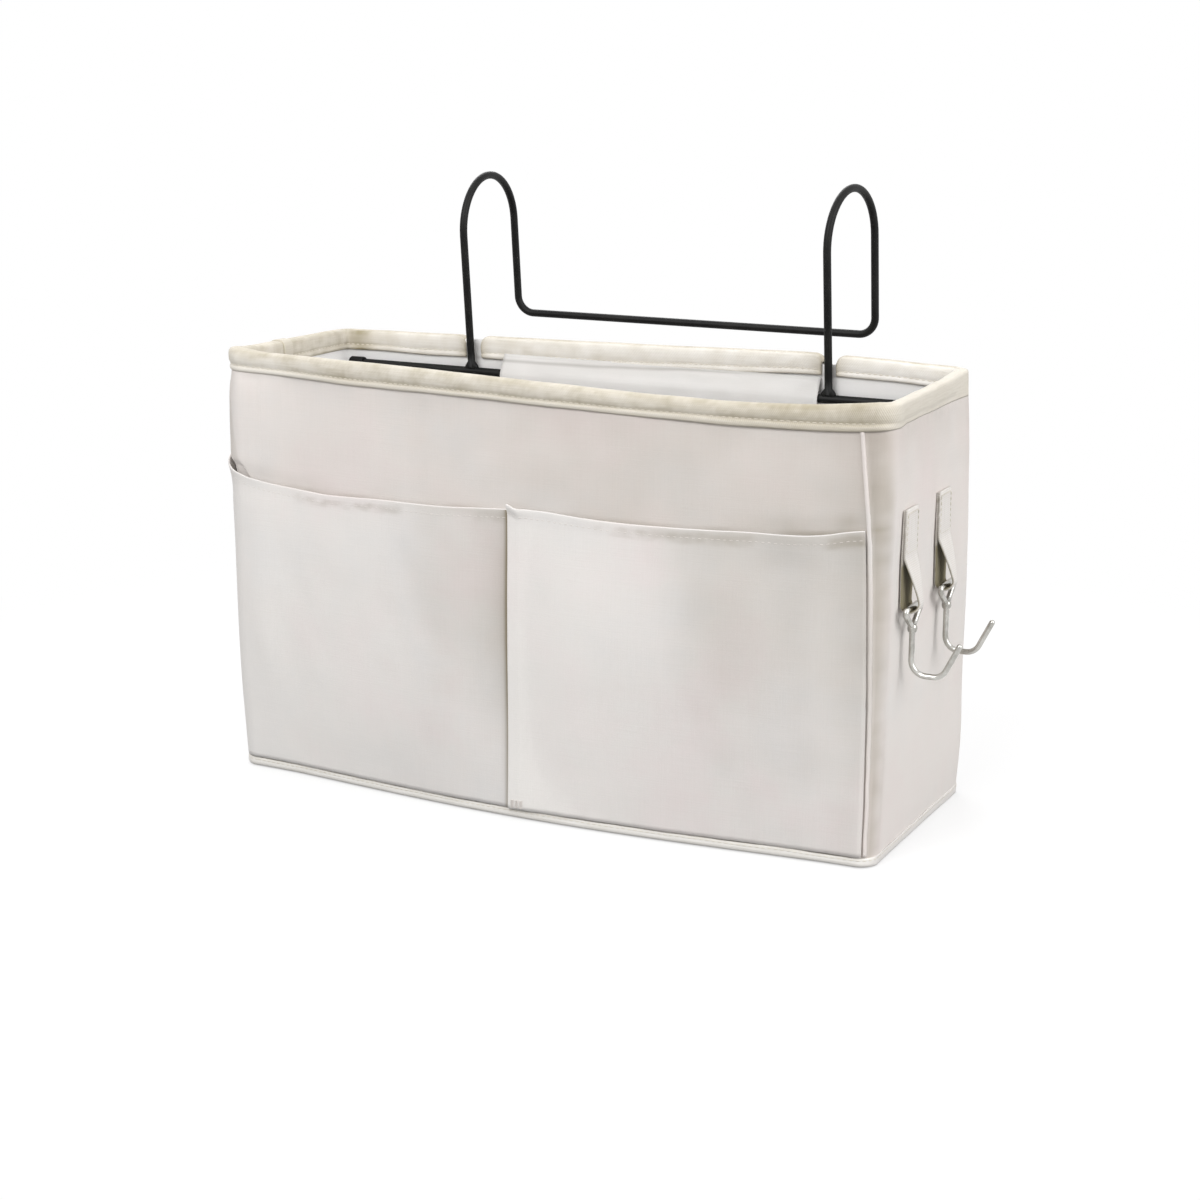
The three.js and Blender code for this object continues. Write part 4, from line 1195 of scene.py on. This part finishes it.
def tab_line():
    """The tab's middle line, (out, height), down the back ply, round the loop and up the front ply."""
    back = [(BACK_PLY, z) for z in np.linspace(TAB_TOP - 0.4, LOOP_Z + 2, 22)]
    turns = np.linspace(math.pi, 2 * math.pi + 0.14, 16)
    loop = [(LOOP_OUT + LOOP_RADIUS * math.cos(a), LOOP_Z + LOOP_RADIUS * math.sin(a)) for a in turns]
    steps = np.linspace(0.06, 1, 16)
    slant = lerp(np.array(loop[-1]), np.array([FRONT_PLY, TAB_SEWN + 0.6]), steps[:, None])
    slant[:, 0] += 0.35 * np.sin(steps * math.pi)
    front = [(FRONT_PLY - 0.03 * k, z) for k, z in enumerate(np.linspace(TAB_SEWN + 2.5, TAB_TOP, 12))]
    return np.concatenate([back, loop, slant, front])


def reach_across(node, level):
    """How far a CAD solid reaches across, below a level."""
    ys = [v.co.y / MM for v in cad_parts[node].data.vertices if v.co.z / MM < level]
    return max(ys) - min(ys)


def build_tabs():
    line = tab_line()
    normal = line_normals(line)[:, None]
    run = run_along(line)
    down = np.clip((TAB_SEWN - line[:, 1]) / (TAB_SEWN - LOOP_Z), 0, 1)[:, None]
    gather = smooth(0.0, 1.0, down) * 0.35 + down * 0.65
    across = np.linspace(-1, 1, 17)
    both = np.concatenate([across, across[::-1]])
    half = HALF_PLY * (1 - 0.45 * smooth(0.86, 1.0, np.abs(across)))
    rib = 0.06 * np.cos(across * math.pi * 4) * down
    outer, inner = (line[:, None] + normal * (rib + side * half)[..., None] for side in (1, -1))
    out, z = np.moveaxis(there_and_back(outer, inner), -1, 0)
    on_front = smooth(22, 38, np.arange(len(line)))[:, None]
    sewn = 8.4
    corners = [(-sewn, 147.4), (-sewn, 166.2), (sewn, 166.2), (sewn, 147.4), (-sewn, 147.4)]
    for place, middle in TAB_YS.items():
        node = f"{place}_hook_tab"
        least = reach_across(node, LOOP_Z) / TAB_WIDTH
        share = lerp(1.0, lerp(0.86, 0.6 * least, on_front), gather)
        points = leaned(HALF_WIDTH + out, middle - both * share * TAB_WIDTH / 2, z)
        # Painted shade on the loop's inner faces and, in patches of uneven strength, along the ply edges.
        inside = (np.arange(len(both)) < len(across)) * smooth(0, 0.2, down)
        patch_strength = np.clip(0.35 + 0.6 * rough(line[:, 1:] / 2.5, middle, 0), 0.1, 0.7)
        tone = 0.9 * np.maximum(inside, (np.abs(both) > 0.95) * patch_strength)
        uvs = pairs(run[:, None], both * TAB_WIDTH / 2)
        tab = piece(f"tab_{place}", points, capped_faces(*z.shape), webbing_cloth, "webbing", uvs, tone, (node,))
        runs = []
        for a, b in zip(corners, corners[1:]):
            y, level = lerp(np.array(a), np.array(b), np.linspace(0, 1, 14)[:, None]).T
            spots = leaned(HALF_WIDTH + 2.62 + 0 * y, middle + y, level)
            runs.append(stitches(spots, np.broadcast_to((1.0, 0, 0), spots.shape), 0.45, pitch=2.7, length=2.0))
        piece(f"tab_{place}_stitches", *joined(runs), pale_thread, "webbing")


# Small hooks: nickel wire bent to a three-sided eye, a collar and an open hook.
def build_hooks():
    eye_half, drop = 13.0, 10.5
    eye = rounded_path(
        [((0, 0, -drop), 0), ((0, -eye_half, 0), 1.8), ((0, eye_half, 0), 1.8), ((0, 0, -drop), 0)], 9.0,
    )
    shank = rounded_path([((0, 0, -drop + 0.6), 0), ((0, 0, -33), 7), ((15, 0, -33), 7), ((23, 0, -17), 0)])
    collar = [(0, 0, -drop - 2.2 + 0.4 * k) for k in range(11)]
    collar_radii = [1.5 + 0.85 * math.sin(math.pi * k / 10) ** 0.5 for k in range(11)]
    verts, faces = joined([
        tube(dense(eye, 3.0), HOOK_RADIUS),
        tube(dense(shank, 3.0), HOOK_RADIUS, dome_end=True),
        tube(collar, collar_radii),
    ])
    for place, y in HOOK_YS.items():
        spots, body = verts + (HOOK_X, y, HOOK_Z), f"{place}_side_hook"
        piece(f"hook_{place}", spots, faces, nickel, "nickel", replaces=(f"{place}_hook",), body=body)


def dress_boards():
    for place in ("front", "right", "back", "left", "bottom"):
        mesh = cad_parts[f"{place}_board"].data
        mesh.materials.clear()
        mesh.materials.append(board_card)


build_canvas()
build_lining()
build_rim()
build_rim_join()
build_foot()
build_seams()
build_pockets()
build_hanger()
build_sleeve()
build_tabs()
build_hooks()
dress_boards()


# Floor, light and camera.
def build_stage():
    mesh = bpy.data.meshes.new("floor")
    reach, drop = 6.0, 0.0004
    corners = [(-reach, -reach, 0), (reach, -reach, 0), (reach, reach, 0), (-reach, reach, 0)]
    mesh.from_pydata(corners, [], [(0, 1, 2, 3)])
    floor = bpy.data.objects.new("floor", mesh)
    floor.location.z = -drop
    bpy.context.scene.collection.objects.link(floor)
    m = new_material("floor")
    away = m.add("ShaderNodeVectorMath", {0: m.place()}, operation="LENGTH").outputs["Value"]
    limits = {"Value": away, "From Min": 0.2, "From Max": 0.55, "To Min": 0.6}
    lost = m.add("ShaderNodeMapRange", limits, interpolation_type="SMOOTHSTEP").outputs["Result"]
    seen = m.seen()
    grey = m.mix(seen, (0.3, 0.3, 0.3), (0.86, 0.86, 0.86))
    m.set(Base_Color=grey, Roughness=0.9, Specular_IOR_Level=0.1)
    white = m.add("ShaderNodeEmission", {"Strength": 1.0})
    m.blend(m.math("MULTIPLY", seen, lost), m.shader, white, "Material Output")
    mesh.materials.append(m.owner)


def placed(name, data, place, target):
    """Puts a lamp or a camera at a place, turned to a target."""
    obj = bpy.data.objects.new(name, data)
    obj.location = place
    obj.rotation_euler = (Vector(target) - Vector(place)).to_track_quat("-Z", "Y").to_euler()
    bpy.context.scene.collection.objects.link(obj)
    return obj


def build_light():
    world = bpy.data.worlds.new("studio")
    bpy.context.scene.world = world
    w = Nodes(world)
    lit = w.tree.nodes["Background"]
    w.feed(lit.inputs["Color"], WHITE)
    w.feed(lit.inputs["Strength"], 0.42)
    white = w.add("ShaderNodeBackground", {"Color": WHITE, "Strength": 1.0})
    w.blend(w.seen(), lit, white, "World Output")
    for name, place, size, watts in (
        ("key", (-0.3, -1.6, 1.45), 1.5, 27.5),
        ("side", (2.1, -0.3, 1.25), 2.2, 41.0),
        ("top", (0.0, -0.3, 1.9), 1.4, 7.0),
        ("back", (-1.3, 1.5, 1.2), 2.0, 28.0),
    ):
        lamp = bpy.data.lights.new(name, "AREA")
        lamp.shape = "DISK"
        lamp.size = size
        lamp.energy = watts
        placed(name, lamp, place, (0, 0, HEIGHT / 2 * MM))


def build_camera():
    camera = bpy.data.cameras.new("camera")
    camera.sensor_width = 36.0
    camera.lens = 69.2
    bpy.context.scene.camera = placed("camera", camera, (0.5212, -1.0256, 0.3887), (0.002, 0, 0.095))


build_stage()
build_light()
build_camera()
bpy.context.scene.view_settings.view_transform = "Standard"
